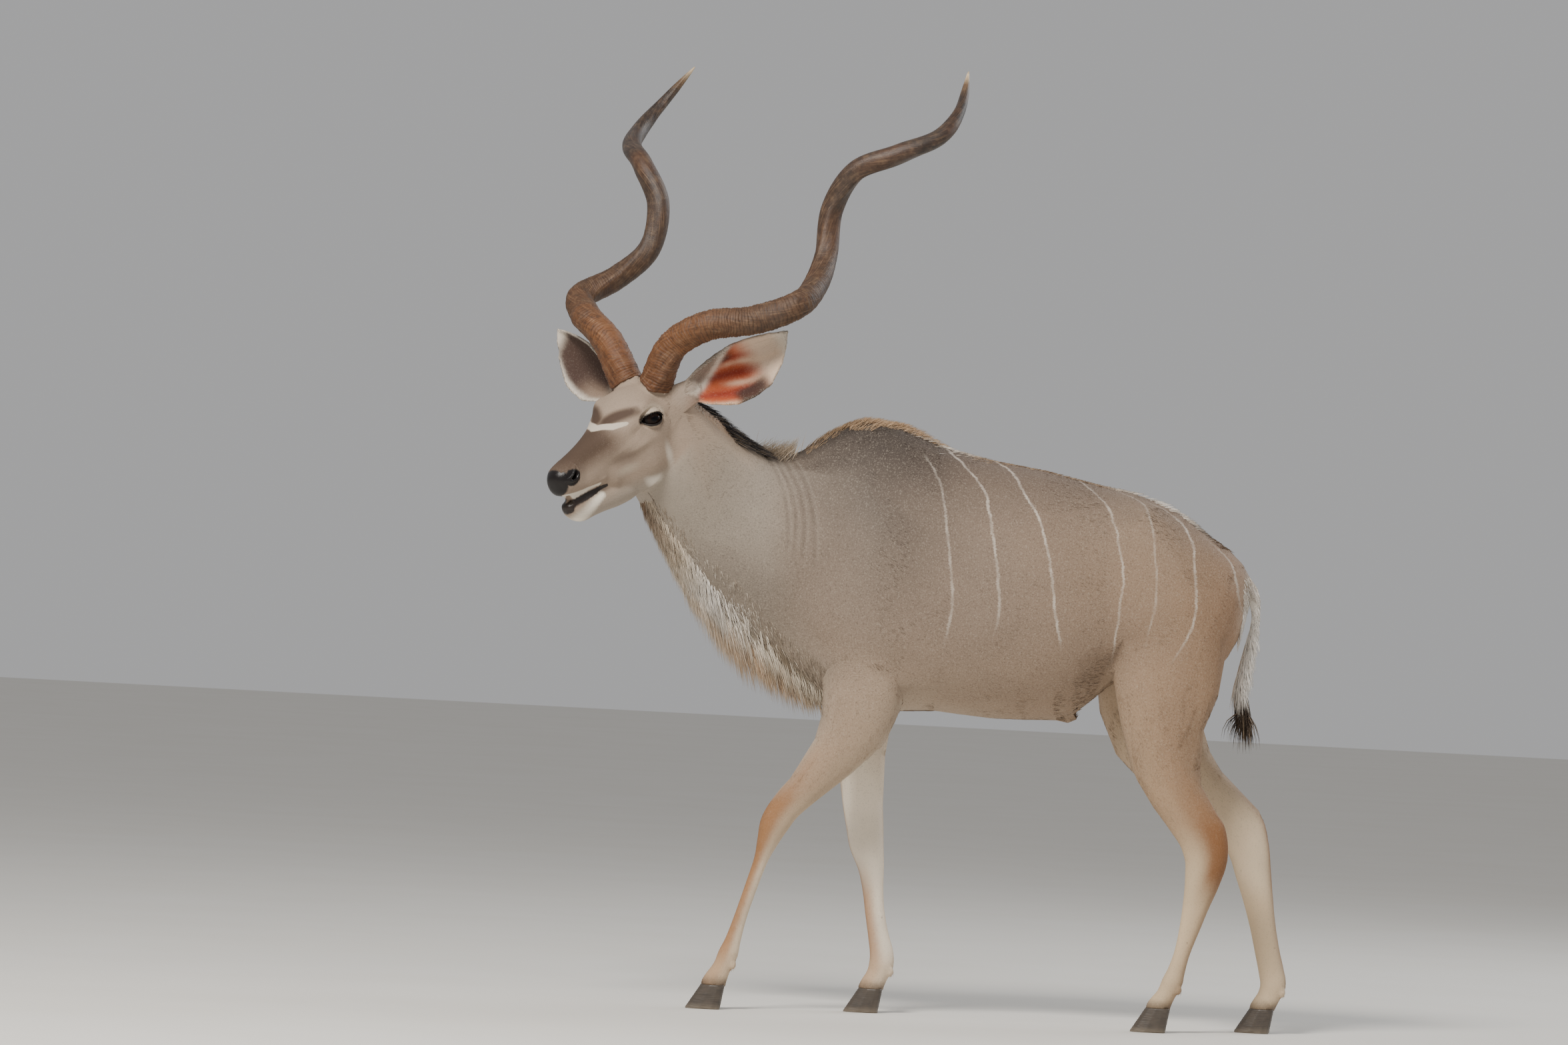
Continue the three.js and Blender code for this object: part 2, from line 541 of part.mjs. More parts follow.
// Hooves: two claws a foot, flat soles on the floor
const CLAW_LONG = 88;
const CLAW_WIDE = 33;
const CLAW_HIGH = 60;
const CLAW_APART = 2.5;
const CLAW_TOE = 8; // the sole lies this far ahead
const CLAW_LEAN = 12; // and the top this far behind
const CLAW_IN = 10; // the toe tips turn in
const CLAW_RINGS = 4;
const CLAW_SIDES = 10;

function claw(footX, footY, side) {
  const rings = [];
  for (let r = 0; r < CLAW_RINGS; r++) {
    const h = r / (CLAW_RINGS - 1);
    const grow = 1 - 0.32 * h;
    const ring = [];
    for (let i = 0; i < CLAW_SIDES; i++) {
      const a = (TURN * i) / CLAW_SIDES;
      const ahead = Math.cos(a);
      const reach = ahead > 0 ? 0.62 : 0.38;
      const taper = 1 - 0.34 * Math.max(0, ahead) ** 2;
      const wide = (CLAW_WIDE / 2) * (0.9 + 0.1 * grow) * taper;
      ring.push(
        vec(
          footX - CLAW_LONG * reach * grow * signedPower(ahead, 0.9) - CLAW_TOE * (1 - h) + CLAW_LEAN * h,
          footY + side * (CLAW_APART + CLAW_WIDE / 2 - CLAW_IN * (1 - taper)) + wide * signedPower(Math.sin(a), 0.85),
          CLAW_HIGH * h,
        ),
      );
    }
    rings.push(ring);
  }
  return loft(rings);
}

// Locks: flat, tapered blades that bend toward the fall of the hair
let seed = 7;
function random() {
  seed = (seed * 16807) % 2147483647;
  return seed / 2147483647;
}
const spread = (amount) => (random() - 0.5) * 2 * amount;

const LOCK_SHAPE = [[0, 0.9], [0.4, 1], [0.75, 0.66]];
const LOCK_TIP = 0.16;
function lock({ root, way, fall, length, width, thick, flat, bend }) {
  const rings = [];
  const run = way.clone().normalize();
  const here = root.clone();
  let before = 0;
  for (const [t, share] of [...LOCK_SHAPE, [1, LOCK_TIP]]) {
    const turned = run.clone().lerp(fall, bend * Math.min(1, 1.3 * t)).normalize();
    here.addScaledVector(turned, length * (t - before));
    before = t;
    const side = flat.clone().addScaledVector(turned, -flat.dot(turned)).normalize();
    const up = turned.clone().cross(side);
    const [w, h] = [(width / 2) * share, (thick / 2) * share];
    rings.push([
      here.clone().addScaledVector(side, w),
      here.clone().addScaledVector(up, h),
      here.clone().addScaledVector(side, -w),
      here.clone().addScaledVector(up, -h),
    ]);
  }
  return loft(rings);
}

// Top and bottom of the spine's sections at a row number, with the way along the line toward the head.
function lineAt(u, which) {
  const [kx, kz] = which === "crest" ? ["tx", "tz"] : ["bx", "bz"];
  const at = (v) => vec(through(SPINE, kx, v), through(SPINE, "y", v), through(SPINE, kz, v));
  const turn = rad(through(SPINE, "turn", u));
  return {
    at: at(u),
    run: at(u + 0.02).sub(at(u - 0.02)).normalize(),
    side: vec(Math.sin(turn), -Math.cos(turn), 0),
  };
}

// Rows of locks along a stretch of the crest or the throat.
function lockRow({ line, from, to, count, lanes, apart, sunk, lengths, width, thick, out, fall, bend, jitter }) {
  const made = [];
  for (let k = 0; k < count; k++)
    for (const lane of lanes) {
      const share = (k + 0.5 * (Math.abs(lane) % 2)) / (count - 0.5);
      const { at, run, side } = lineAt(from + (to - from) * share, line);
      const outward = run.clone().cross(side).multiplyScalar(line === "crest" ? 1 : -1);
      if ((line === "crest") !== outward.z > 0) outward.negate();
      const root = at.clone().addScaledVector(side, lane * apart).addScaledVector(outward, -sunk);
      made.push(
        lock({
          root,
          way: outward.clone().multiplyScalar(out).addScaledVector(fall, 1).addScaledVector(side, 0.12 * lane + spread(0.06)),
          fall,
          length: sunk + along(lengths, share) * (1 + spread(jitter)) * (1 - 0.08 * Math.abs(lane)),
          width,
          thick,
          flat: run.clone().addScaledVector(side, spread(0.5)),
          bend,
        }),
      );
    }
  return made;
}

const THROAT = {
  line: "throat", from: 14.8, to: 22.4, count: 13, lanes: [-1.5, -0.5, 0.5, 1.5], apart: 17, sunk: 24,
  lengths: [[0, 62], [0.13, 116], [0.25, 166], [0.4, 176], [0.5, 176], [0.62, 154], [0.75, 128], [1, 100]],
  width: 44, thick: 14, out: 0.3, fall: vec(0.24, 0, -0.97), bend: 0.9, jitter: 0.12,
};
const NAPE = {
  line: "crest", from: 17.2, to: 21.5, count: 9, lanes: [-0.5, 0.5], apart: 15, sunk: 16,
  lengths: [[0, 50], [0.15, 70], [0.35, 52], [0.6, 66], [1, 84]],
  width: 38, thick: 12, out: 0.62, fall: vec(0.74, 0.2, -0.58), bend: 0.7, jitter: 0.2,
};
const WITHERS = {
  line: "crest", from: 11.7, to: 14.85, count: 10, lanes: [-0.5, 0.5], apart: 16, sunk: 16,
  lengths: [[0, 18], [0.3, 34], [0.7, 34], [1, 20]],
  width: 30, thick: 10, out: 1.1, fall: vec(0.96, 0, 0.1), bend: 0.55, jitter: 0.15,
};

// Tail: a bent round core with a white fringe and a dark end
const TAIL = [
  { x: 722, z: 1128, r: 20 },
  { x: 756, z: 1098, r: 17 },
  { x: 771, z: 1050, r: 14 },
  { x: 770, z: 990, r: 13 },
  { x: 757, z: 925, r: 13 },
  { x: 745, z: 875, r: 13 },
  { x: 747, z: 835, r: 13 },
  { x: 757, z: 800, r: 11 },
  { x: 765, z: 772, r: 7 },
];
const TAIL_RINGS = 12;
const TAIL_SIDES = 8;
const TAIL_SEAT = vec(762, 0, 1082); // where the tail node starts on the rump
function tailLoft() {
  const rows = resample(TAIL, TAIL_RINGS);
  return loft(
    rows.map((r, i) => {
      const [a, b] = [rows[Math.max(0, i - 1)], rows[Math.min(rows.length - 1, i + 1)]];
      const run = vec(b.x - a.x, 0, b.z - a.z).normalize();
      return section({
        centre: vec(r.x, 0, r.z), up: vec(run.z, 0, -run.x), side: vec(0, -1, 0),
        top: r.r, bottom: r.r, half: r.r, square: 2, count: TAIL_SIDES,
      });
    }),
  );
}
const TAIL_FRINGE = { from: 2.5, to: 6.4, count: 5, length: 62, width: 24, thick: 9, out: 0.55 };
const TAIL_TUFT = { count: 7, length: 126, width: 26, thick: 9, from: vec(755, 0, 803), to: vec(0.27, 0, -0.96) };
function tailLocks() {
  const made = [];
  for (let k = 0; k < TAIL_FRINGE.count; k++)
    for (const lane of [-1, 1]) {
      const u = TAIL_FRINGE.from + ((TAIL_FRINGE.to - TAIL_FRINGE.from) * k) / (TAIL_FRINGE.count - 1);
      const at = vec(through(TAIL, "x", u), 0, through(TAIL, "z", u));
      const down = vec(through(TAIL, "x", u + 0.05), 0, through(TAIL, "z", u + 0.05)).sub(at).normalize();
      made.push(
        lock({
          root: at.addScaledVector(vec(0, lane, 0), 4), way: down.clone().addScaledVector(vec(0.6, 0.5 * lane, 0), TAIL_FRINGE.out),
          fall: down, length: TAIL_FRINGE.length * (1 + spread(0.1)), width: TAIL_FRINGE.width, thick: TAIL_FRINGE.thick,
          flat: vec(-down.z, 0.3 * lane, down.x), bend: 0.7,
        }),
      );
    }
  for (let k = 0; k < TAIL_TUFT.count; k++) {
    const a = (TURN * k) / TAIL_TUFT.count;
    made.push(
      lock({
        root: TAIL_TUFT.from.clone().add(vec(4 * Math.cos(a), 4 * Math.sin(a), 0)),
        way: TAIL_TUFT.to.clone().add(vec(0.2 * Math.cos(a), 0.2 * Math.sin(a), 0)),
        fall: TAIL_TUFT.to, length: TAIL_TUFT.length * (1 + spread(0.12)), width: TAIL_TUFT.width, thick: TAIL_TUFT.thick,
        flat: vec(Math.sin(a), -Math.cos(a), 0), bend: 0.6,
      }),
    );
  }
  return made;
}

// The whole animal, joined.
const trunk = bodyLoft();
const skull = loft(swellHead(headSections(SKULL, 21, HEAD_SIDES)));
const jaw = loft(headSections(JAW, 12, JAW_SIDES));
const gum = loft(
  headSections(
    [
      { at: 120, top: -70, bottom: -150, middle: -105, half: 24, square: 2 },
      { at: 200, top: -66, bottom: -140, middle: -105, half: 18, square: 2 },
      { at: 258, top: -66, bottom: -130, middle: -103, half: 15, square: 2 },
    ],
    4,
    8,
  ),
);
const eyes = { left: eyeParts(1), right: eyeParts(-1) };
const hornSolid = (side) => loft(hornRings(side, 0, 1, HORN_RINGS, 0));
const knob = (side) => loft(hornRings(side, 0, 2 * HORN_SEAT, 4, KNOB_MORE)).intersect(hornCut(side, 0));
const earSolid = { left: loft(earRings(EAR_LEFT, 1)), right: loft(earRings(EAR_RIGHT, -1)) };
const earCut = (ear, shift) => {
  const axis = headWay(...ear.way);
  return behind(inHead(...ear.root).addScaledVector(axis, EAR_SEAT + shift), axis);
};

const tail = tailLoft();
const tailCut = (shift) => behind(TAIL_SEAT.clone().add(vec(0, 0, -shift)), vec(-0.3, 0, -1));
const SHEATH = ellipsoid(vec(318, 0, 757), [40, 15, 21], [vec(1, 0, 0), vec(0, 1, 0), vec(0, 0, 1)], 12);
const DEWCLAW = [9, 8, 14];
const FETLOCKS = [
  [-481, -110, 112, 25],
  [-102, 110, 104, 30],
  [606, -114, 108, 26],
  [862, 110, 104, 31],
];

let whole = trunk.add(skull).add(jaw).add(gum).add(SHEATH).add(tail.intersect(tailCut(0)));
for (const [x, y, z, aft] of FETLOCKS)
  for (const lane of [-1, 1])
    whole = whole.add(ellipsoid(vec(x + aft - 4, y + 15 * lane, z), DEWCLAW, [vec(1, 0, 0), vec(0, 1, 0), vec(0, 0, 1)], 8));
for (const rows of [FORELEG_LEFT, FORELEG_RIGHT, HINDLEG_LEFT, HINDLEG_RIGHT]) whole = whole.add(legLoft(rows));
for (const [ear, spec] of [[earSolid.left, EAR_LEFT], [earSolid.right, EAR_RIGHT]])
  whole = whole.add(ear.intersect(earCut(spec, 0)));
for (const side of [1, -1]) whole = whole.add(knob(side));
for (const row of [THROAT, NAPE, WITHERS]) for (const hair of lockRow(row)) whole = whole.add(hair);
whole = whole.simplify(FINE);
for (const side of [1, -1])
  whole = whole.subtract(loft(hornRings(side, 0, 1, HORN_RINGS, 2 * GAP)).subtract(hornCut(side, 0)));
for (const e of Object.values(eyes)) whole = whole.add(e.lids).subtract(e.almond).subtract(e.socket);
for (const side of [1, -1]) {
  const nostril = ellipsoid(
    inHead(252, side * 37, -38),
    [15, 12, 8],
    [headWay(0.9, side * 0.1, -0.42), headWay(0.1, side * 0.95, 0.1), headWay(0.42, 0, 0.9)],
    14,
  );
  whole = whole.subtract(nostril);
}

// Parting the body into its nodes by thin cuts.
const HEAD_PLANE = { at: vec(-655, -150, 1350), normal: vec(0.8, 0.2, -0.56) };
const NECK_PLANE = { at: vec(-345, 0, 1385), normal: vec(0.995, 0, 0.096) };
const FORELEG_TOP = 738;
const HINDLEG_TOP = 836;
const HINDLEG_FRONT = 417;
const LEG_FOOT = CLAW_HIGH; // where the hooves begin

const shifted = ({ at, normal }, by) => behind(at.clone().addScaledVector(normal.clone().normalize(), by), normal);
const headSide = shifted(HEAD_PLANE, 0);
const head = whole.intersect(headSide);
const notHead = whole.subtract(shifted(HEAD_PLANE, GAP));
const foreSpace = block([-700, -500, -10], [100, 500, FORELEG_TOP + GAP]);
const neck = notHead.intersect(shifted(NECK_PLANE, 0)).subtract(foreSpace);
const rear = notHead.subtract(shifted(NECK_PLANE, GAP));
const legSpaces = {
  foreleg_left: block([-700, -500, LEG_FOOT + GAP], [100, 0, FORELEG_TOP]),
  foreleg_right: block([-700, 0, LEG_FOOT + GAP], [100, 500, FORELEG_TOP]),
  hindleg_left: block([HINDLEG_FRONT, -500, LEG_FOOT + GAP], [1200, 0, HINDLEG_TOP]),
  hindleg_right: block([HINDLEG_FRONT, 0, LEG_FOOT + GAP], [1200, 500, HINDLEG_TOP]),
};
const torso = rear
  .subtract(foreSpace)
  .subtract(block([HINDLEG_FRONT - GAP, -500, -10], [1200, 500, HINDLEG_TOP + GAP]));

const nodes = new Map();
nodes.set("torso", largest(torso));
nodes.set("neck", largest(neck));
nodes.set("head", largest(head));
const haired = tailLocks().reduce((sum, hair) => sum.add(hair), tail).simplify(FINE);
nodes.set("tail", largest(haired.subtract(tailCut(GAP)).subtract(nodes.get("torso").translate([GAP, 0, 0]))));
for (const [name, space] of Object.entries(legSpaces)) nodes.set(name, largest(whole.intersect(space)));
for (const [name, side] of [["left", 1], ["right", -1]]) {
  nodes.set("eye_" + name, eyes[name].ball);
  nodes.set("horn_" + name, hornSolid(side).subtract(hornCut(side, GAP)));
}
nodes.set("ear_left", earSolid.left.subtract(earCut(EAR_LEFT, GAP)));
nodes.set("ear_right", earSolid.right.subtract(earCut(EAR_RIGHT, GAP)));
const FEET = {
  fore_left: [-510, -110],
  fore_right: [-126, 110],
  hind_left: [577, -114],
  hind_right: [837, 110],
};
for (const [name, [x, y]] of Object.entries(FEET)) {
  nodes.set("hoof_" + name + "_inner", claw(x, y, y < 0 ? 1 : -1));
  nodes.set("hoof_" + name + "_outer", claw(x, y, y < 0 ? -1 : 1));
}

const COLOURS = {
  torso: 0x8c7a68, neck: 0x8f857a, head: 0x84746a, foreleg: 0xb98f66, hindleg: 0xb9a083, eye: 0x0d0a08,
  horn: 0x5b4638, ear: 0xa08f82, hoof: 0x2b2522, tail: 0xd8cfc0,
};

const group = new THREE.Group();
for (const [name, solid] of nodes) {
  const mesh = solid.getMesh();
  const geometry = new THREE.BufferGeometry()
    .setAttribute("position", new THREE.BufferAttribute(new Float32Array(mesh.vertProperties), mesh.numProp))
    .setIndex(new THREE.BufferAttribute(new Uint32Array(mesh.triVerts), 1));
  geometry.translate(-ORIGIN[0], -ORIGIN[1], -ORIGIN[2]);
  const made = new THREE.Mesh(
    mergeVertices(geometry, 1e-3),
    new THREE.MeshStandardMaterial({ color: COLOURS[name.split("_")[0]], roughness: 0.8 }),
  );
  made.name = name;
  group.add(made);
}

export default group;
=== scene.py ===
"""The looks of a standing greater kudu bull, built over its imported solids, in metres in the row frame."""

import math

import bmesh
import bpy
import numpy as np
from mathutils import Matrix, Vector


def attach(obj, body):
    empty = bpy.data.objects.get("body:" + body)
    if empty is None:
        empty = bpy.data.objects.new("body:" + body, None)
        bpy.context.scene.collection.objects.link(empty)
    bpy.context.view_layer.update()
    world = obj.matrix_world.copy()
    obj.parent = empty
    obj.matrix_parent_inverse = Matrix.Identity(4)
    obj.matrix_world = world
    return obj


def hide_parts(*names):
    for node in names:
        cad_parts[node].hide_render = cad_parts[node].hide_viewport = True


bl_info = {
    "name": "Kudu Bull Looks",
    "version": (1, 0, 0),
    "blender": (4, 5, 0),
    "location": "3D View > Sidebar > Kudu",
    "description": "Skin, coat, horns, eyes, hooves and studio for a standing kudu bull",
    "category": "Object",
}

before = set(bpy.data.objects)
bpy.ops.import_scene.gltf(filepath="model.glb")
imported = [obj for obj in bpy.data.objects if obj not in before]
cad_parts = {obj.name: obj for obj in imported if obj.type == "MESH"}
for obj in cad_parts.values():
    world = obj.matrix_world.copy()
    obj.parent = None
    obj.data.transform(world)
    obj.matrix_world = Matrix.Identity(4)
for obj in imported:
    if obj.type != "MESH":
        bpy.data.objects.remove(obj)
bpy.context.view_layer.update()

SHIFT = np.array([0.039, -0.080, 0.0])  # the tables below lie this far from the frame's origin
TURN = 2 * math.pi
FAR = 1e9  # farther than any measure here
BLOCK = 20000  # points measured at once

# Torso and neck, mm: top line x z, bottom line x z, middle y, degrees the section faces left, half width,
# level of the widest place, squareness.
SPINE = np.array([
    (752, 1118, 748, 1030, 0, 0, 34, 0.5, 2),
    (738, 1150, 730, 960, 0, 0, 92, 0.52, 2.1),
    (700, 1184, 690, 893, 0, 0, 138, 0.48, 2.4),
    (640, 1222, 630, 858, 0, 0, 164, 0.45, 2.5),
    (560, 1277, 550, 848, 0, 0, 178, 0.44, 2.5),
    (470, 1309, 462, 856, 0, 0, 184, 0.44, 2.4),
    (392, 1323, 396, 812, 0, 0, 198, 0.46, 2.15),
    (320, 1338, 322, 752, 0, 0, 212, 0.46, 2.1),
    (235, 1356, 235, 740, 0, 0, 220, 0.46, 2.1),
    (150, 1367, 150, 739, 0, 0, 220, 0.46, 2.1),
    (65, 1381, 65, 745, 0, 0, 213, 0.45, 2.1),
    (-20, 1406, -20, 748, 0, 0, 200, 0.44, 2.1),
    (-100, 1445, -100, 744, 0, 0, 182, 0.38, 2.3),
    (-170, 1454, -180, 747, 0, 0, 172, 0.36, 2.3),
    (-236, 1446, -262, 762, 0, 2, 160, 0.38, 2.2),
    (-306, 1410, -335, 805, -2, 4, 150, 0.44, 2.1),
    (-362, 1372, -405, 862, -8, 7, 140, 0.47, 2.1),
    (-405, 1357, -482, 915, -18, 11, 130, 0.5, 2.1),
    (-447, 1363, -556, 975, -34, 16, 120, 0.52, 2.1),
    (-497, 1392, -616, 1040, -56, 22, 110, 0.54, 2.1),
    (-545, 1424, -662, 1108, -82, 28, 102, 0.55, 2.1),
    (-592, 1456, -702, 1168, -112, 34, 96, 0.56, 2.1),
    (-634, 1484, -738, 1228, -144, 40, 86, 0.56, 2.1),
    (-672, 1498, -762, 1282, -176, 46, 70, 0.56, 2.1),
    (-706, 1494, -780, 1330, -200, 50, 50, 0.56, 2.1),
], float)

# Swellings of the body, mm: place x y z, reach x y z, height; y counts on both sides.
BODY_FORMS = [
    ((-165, 150, 1190), (75, 120, 170), 13),  # shoulder blade
    ((-110, 150, 900), (95, 120, 95), 16),  # upper arm
    ((-285, 130, 960), (60, 110, 90), 10),  # point of the shoulder
    ((20, 180, 1040), (55, 120, 190), -9),  # hollow behind the shoulder
    ((470, 150, 1235), (45, 90, 40), 12),  # hip bone
    ((405, 190, 1080), (60, 120, 120), -12),  # flank hollow
    ((600, 160, 1040), (110, 120, 130), 14),  # haunch
    ((-90, 40, 1430), (55, 60, 70), -8),  # dip behind the withers
]

# Legs, mm: x, z, y of the middle, reach ahead, reach behind, half width.
LEGS = {
    "fore_left": np.array([
        (-132, 1030, -78, 66, 66, 50), (-146, 940, -92, 90, 88, 62), (-160, 858, -98, 104, 95, 62),
        (-176, 778, -104, 104, 99, 65), (-197, 706, -107, 86, 90, 58), (-232, 645, -108, 66, 68, 50),
        (-276, 590, -109, 52, 56, 43), (-318, 538, -110, 44, 44, 37), (-350, 498, -110, 42, 38, 36),
        (-374, 458, -110, 39, 36, 37), (-390, 415, -110, 28, 28, 30), (-404, 370, -110, 19, 20, 21),
        (-424, 305, -110, 17, 18, 18), (-446, 230, -110, 17, 18, 18), (-462, 172, -110, 20, 22, 22),
        (-472, 138, -110, 25, 27, 29), (-484, 104, -110, 25, 24, 29), (-497, 74, -110, 31, 28, 33),
        (-503, 58, -110, 34, 31, 35),
    ], float),
    "fore_right": np.array([
        (-132, 1030, 78, 66, 66, 50), (-145, 940, 92, 90, 88, 62), (-157, 858, 98, 103, 94, 62),
        (-166, 778, 104, 100, 91, 65), (-172, 706, 106, 84, 70, 56), (-174, 640, 107, 66, 60, 48),
        (-172, 575, 108, 54, 60, 42), (-168, 510, 109, 47, 56, 38), (-160, 458, 110, 44, 52, 38),
        (-151, 410, 110, 42, 46, 38), (-139, 355, 110, 30, 38, 32), (-128, 300, 110, 27, 28, 24),
        (-120, 245, 110, 26, 26, 22), (-109, 190, 110, 27, 28, 23), (-100, 150, 110, 30, 32, 27),
        (-98, 120, 110, 32, 32, 30), (-106, 92, 110, 30, 28, 30), (-116, 70, 110, 32, 30, 33),
        (-120, 58, 110, 34, 32, 35),
    ], float),
    "hind_left": np.array([
        (604, 1120, -80, 96, 84, 62), (588, 1015, -94, 128, 116, 80), (573, 912, -101, 140, 130, 76),
        (563, 825, -107, 132, 126, 71), (560, 745, -110, 106, 104, 62), (572, 668, -112, 90, 88, 52),
        (600, 598, -113, 76, 66, 43), (637, 535, -114, 66, 62, 36), (668, 482, -114, 60, 62, 34),
        (683, 432, -114, 58, 52, 35), (676, 378, -114, 48, 44, 33), (661, 318, -114, 34, 36, 26),
        (648, 258, -114, 26, 28, 22), (634, 200, -114, 21, 22, 21), (622, 156, -114, 22, 24, 24),
        (613, 126, -114, 26, 28, 29), (600, 94, -114, 25, 25, 28), (588, 70, -114, 30, 28, 32),
        (583, 58, -114, 33, 31, 34),
    ], float),
    "hind_right": np.array([
        (596, 1120, 80, 96, 88, 62), (578, 1015, 94, 128, 120, 80), (558, 912, 100, 138, 130, 76),
        (545, 825, 105, 150, 124, 71), (556, 740, 108, 132, 110, 62), (596, 665, 109, 104, 92, 52),
        (652, 600, 110, 84, 74, 43), (716, 548, 110, 66, 66, 37), (765, 500, 110, 60, 64, 35),
        (791, 450, 110, 54, 52, 36), (806, 392, 110, 48, 44, 34), (820, 330, 110, 40, 38, 28),
        (833, 268, 110, 34, 34, 24), (847, 205, 110, 32, 33, 23), (859, 156, 110, 32, 34, 26),
        (866, 122, 110, 33, 34, 30), (858, 92, 110, 30, 30, 29), (848, 70, 110, 32, 30, 32),
        (843, 58, 110, 34, 32, 34),
    ], float),
}

# The head's own axes: f toward the nose, l toward the left, n toward the brow, zero midway between the eyes.
HEAD_YAW = math.radians(50)
HEAD_PITCH = math.radians(26.5)
HEAD_AT = np.array([-788.0, -230.0, 1431.0])
HEAD_F = np.array([
    -math.cos(HEAD_YAW) * math.cos(HEAD_PITCH),
    -math.sin(HEAD_YAW) * math.cos(HEAD_PITCH),
    -math.sin(HEAD_PITCH),
])
HEAD_L = np.array([math.sin(HEAD_YAW), -math.cos(HEAD_YAW), 0.0])
HEAD_N = np.cross(HEAD_F, HEAD_L)
HEAD_AXES = np.array([HEAD_F, HEAD_L, HEAD_N])
HEAD_CUT = np.array([-655.0, -150.0, 1350.0])  # on the plane where the head's solid meets the neck's
HEAD_CUT_WAY = np.array([0.8, 0.2, -0.56])

# Sections of the skull, the jaw and the gum between them in head axes, mm: place, top, bottom, level of the
# widest, half width, squareness.
SKULL = np.array([
    (-168, 20, -120, -40, 46, 2), (-140, 46, -165, -32, 70, 2.1), (-105, 56, -186, -24, 80, 2.2),
    (-65, 60, -190, -14, 85, 2.3), (-25, 60, -191, -6, 86, 2.4), (12, 54, -191, -6, 83, 2.4),
    (48, 43, -189, -16, 73, 2.3), (88, 26, -176, -28, 61, 2.2), (128, 15, -146, -38, 51, 2.2),
    (165, 7, -116, -44, 43, 2.3), (200, 1, -102, -48, 38, 2.4), (232, -4, -96, -50, 37, 2.5),
    (260, -8, -91, -50, 36, 2.4), (281, -14, -85, -50, 32, 2.3), (294, -25, -77, -51, 23, 2.1),
    (298, -38, -66, -52, 11, 2),
], float)
JAW = np.array([
    (20, -120, -186, -150, 40, 2), (70, -112, -191, -150, 42, 2.1), (115, -110, -188, -148, 38, 2.1),
    (160, -109, -180, -144, 32, 2.1), (200, -106, -175, -140, 28, 2.1), (235, -104, -172, -136, 27, 2.1),
    (258, -102, -161, -130, 25, 2.1), (273, -105, -145, -124, 19, 2), (281, -112, -130, -120, 9, 2),
], float)
GUM = np.array([
    (120, -70, -150, -105, 24, 2), (200, -66, -140, -105, 18, 2), (258, -66, -130, -103, 15, 2),
], float)

# Swellings of the head in head axes, mm: place f l n, reach, height; l counts on both sides.
HEAD_FORMS = [
    ((8, 78, 34), (30, 22, 20), 12),  # brow over the eye
    ((0, 84, -2), (24, 20, 16), -8),  # eye socket
    ((-40, 84, -40), (40, 30, 26), 7),  # cheek bone behind the eye
    ((10, 70, -118), (50, 40, 44), 10),  # jaw muscle
    ((110, 58, -70), (40, 30, 22), -8),  # hollow of the cheek
    ((62, 70, -50), (54, 26, 13), 9),  # edge of the cheek bone
    ((44, 66, -18), (18, 20, 11), -5),  # tear pit
    ((-54, 74, 24), (24, 26, 20), -6),  # temple
    ((124, 46, -14), (50, 16, 13), -5),  # beside the bridge of the nose
    ((214, 40, -62), (13, 20, 26), -4),  # behind the nostril
    ((144, 40, -106), (8, 22, 24), -4),  # fold at the mouth corner
    ((124, 46, -118), (13, 22, 26), 4),  # swelling behind the fold
    ((84, 62, -112), (30, 26, 26), -5),  # before the jaw muscle
    ((-30, 76, -140), (18, 30, 46), 6),  # rear edge of the jaw
    ((258, 34, -34), (20, 16, 16), 4),  # nostril wing
    ((205, 40, -84), (40, 20, 16), 4),  # upper lip
]

EYE_AT = np.array([-13.0, 68.0, -7.0])
EYE_OUT = np.array([0.3, 0.93, 0.12])
EYE_REAR = np.array([-1.0, 0.345, -0.18])
EYE_RADIUS = 28.0

# Horn stations in head axes, mm, for the left horn, and thickness along it.
HORN_LINE = np.array([
    (-80, 28, 22), (-88, 45, 50), (-121, 103, 140), (-163, 193, 180), (-236, 274, 161), (-316, 354, 168),
    (-431, 327, 171), (-530, 289, 207), (-599, 283, 299), (-647, 348, 381), (-714, 435, 399),
    (-810, 491, 402), (-915, 487, 432), (-1019, 448, 486),
], float)
HORN_THICK = (
    (0, 42), (0.08, 42), (0.13, 40), (0.2, 37), (0.32, 37), (0.45, 31), (0.62, 28), (0.78, 25),
    (0.88, 19), (0.95, 11), (1, 1.5),
)
HORN_SEAT = 0.075
KEEL_START = 0.17
KEEL_TURNS = 1.94
KEEL_EASE = -0.15
KEEL_HIGH = 0.2
KEEL_SPREAD = 0.42

EAR_ROOT = np.array([-112.0, 92.0, 6.0])
EAR_WAYS = {"left": ((-206, 210, 92), (-0.1, -1, -0.12)), "right": ((-80, -246, 132), (-0.93, -0.36, 0.1))}
EAR_FRONT = (
    (0, 24), (0.12, 32), (0.24, 42), (0.4, 48), (0.55, 50), (0.7, 40), (0.85, 24), (0.95, 11), (1, 3))
EAR_REAR = (
    (0, 24), (0.1, 36), (0.2, 62), (0.36, 92), (0.52, 100), (0.66, 94), (0.83, 62), (0.94, 28), (1, 3))
EAR_DEPTH = ((0, 40), (0.15, 52), (0.3, 56), (0.5, 48), (0.7, 34), (0.9, 14), (1, 4))
EAR_THICK = 8.0

TAIL = np.array([
    (722, 1128, 20), (756, 1098, 17), (771, 1050, 14), (770, 990, 13), (757, 925, 13), (745, 875, 13),
    (747, 835, 13), (757, 800, 11), (765, 772, 7),
], float)


def unit(v):
    """Rows of v at length one."""
    v = np.asarray(v, float)
    return v / np.maximum(np.linalg.norm(v, axis=-1, keepdims=True), 1e-12)


def dots(a, b):
    """The dot product of each row of a with the same row of b."""
    return (a * b).sum(1)


def in_surface(ways, normal):
    """Each way turned square to its normal, at length one."""
    return unit(ways - dots(ways, normal)[:, None] * normal)


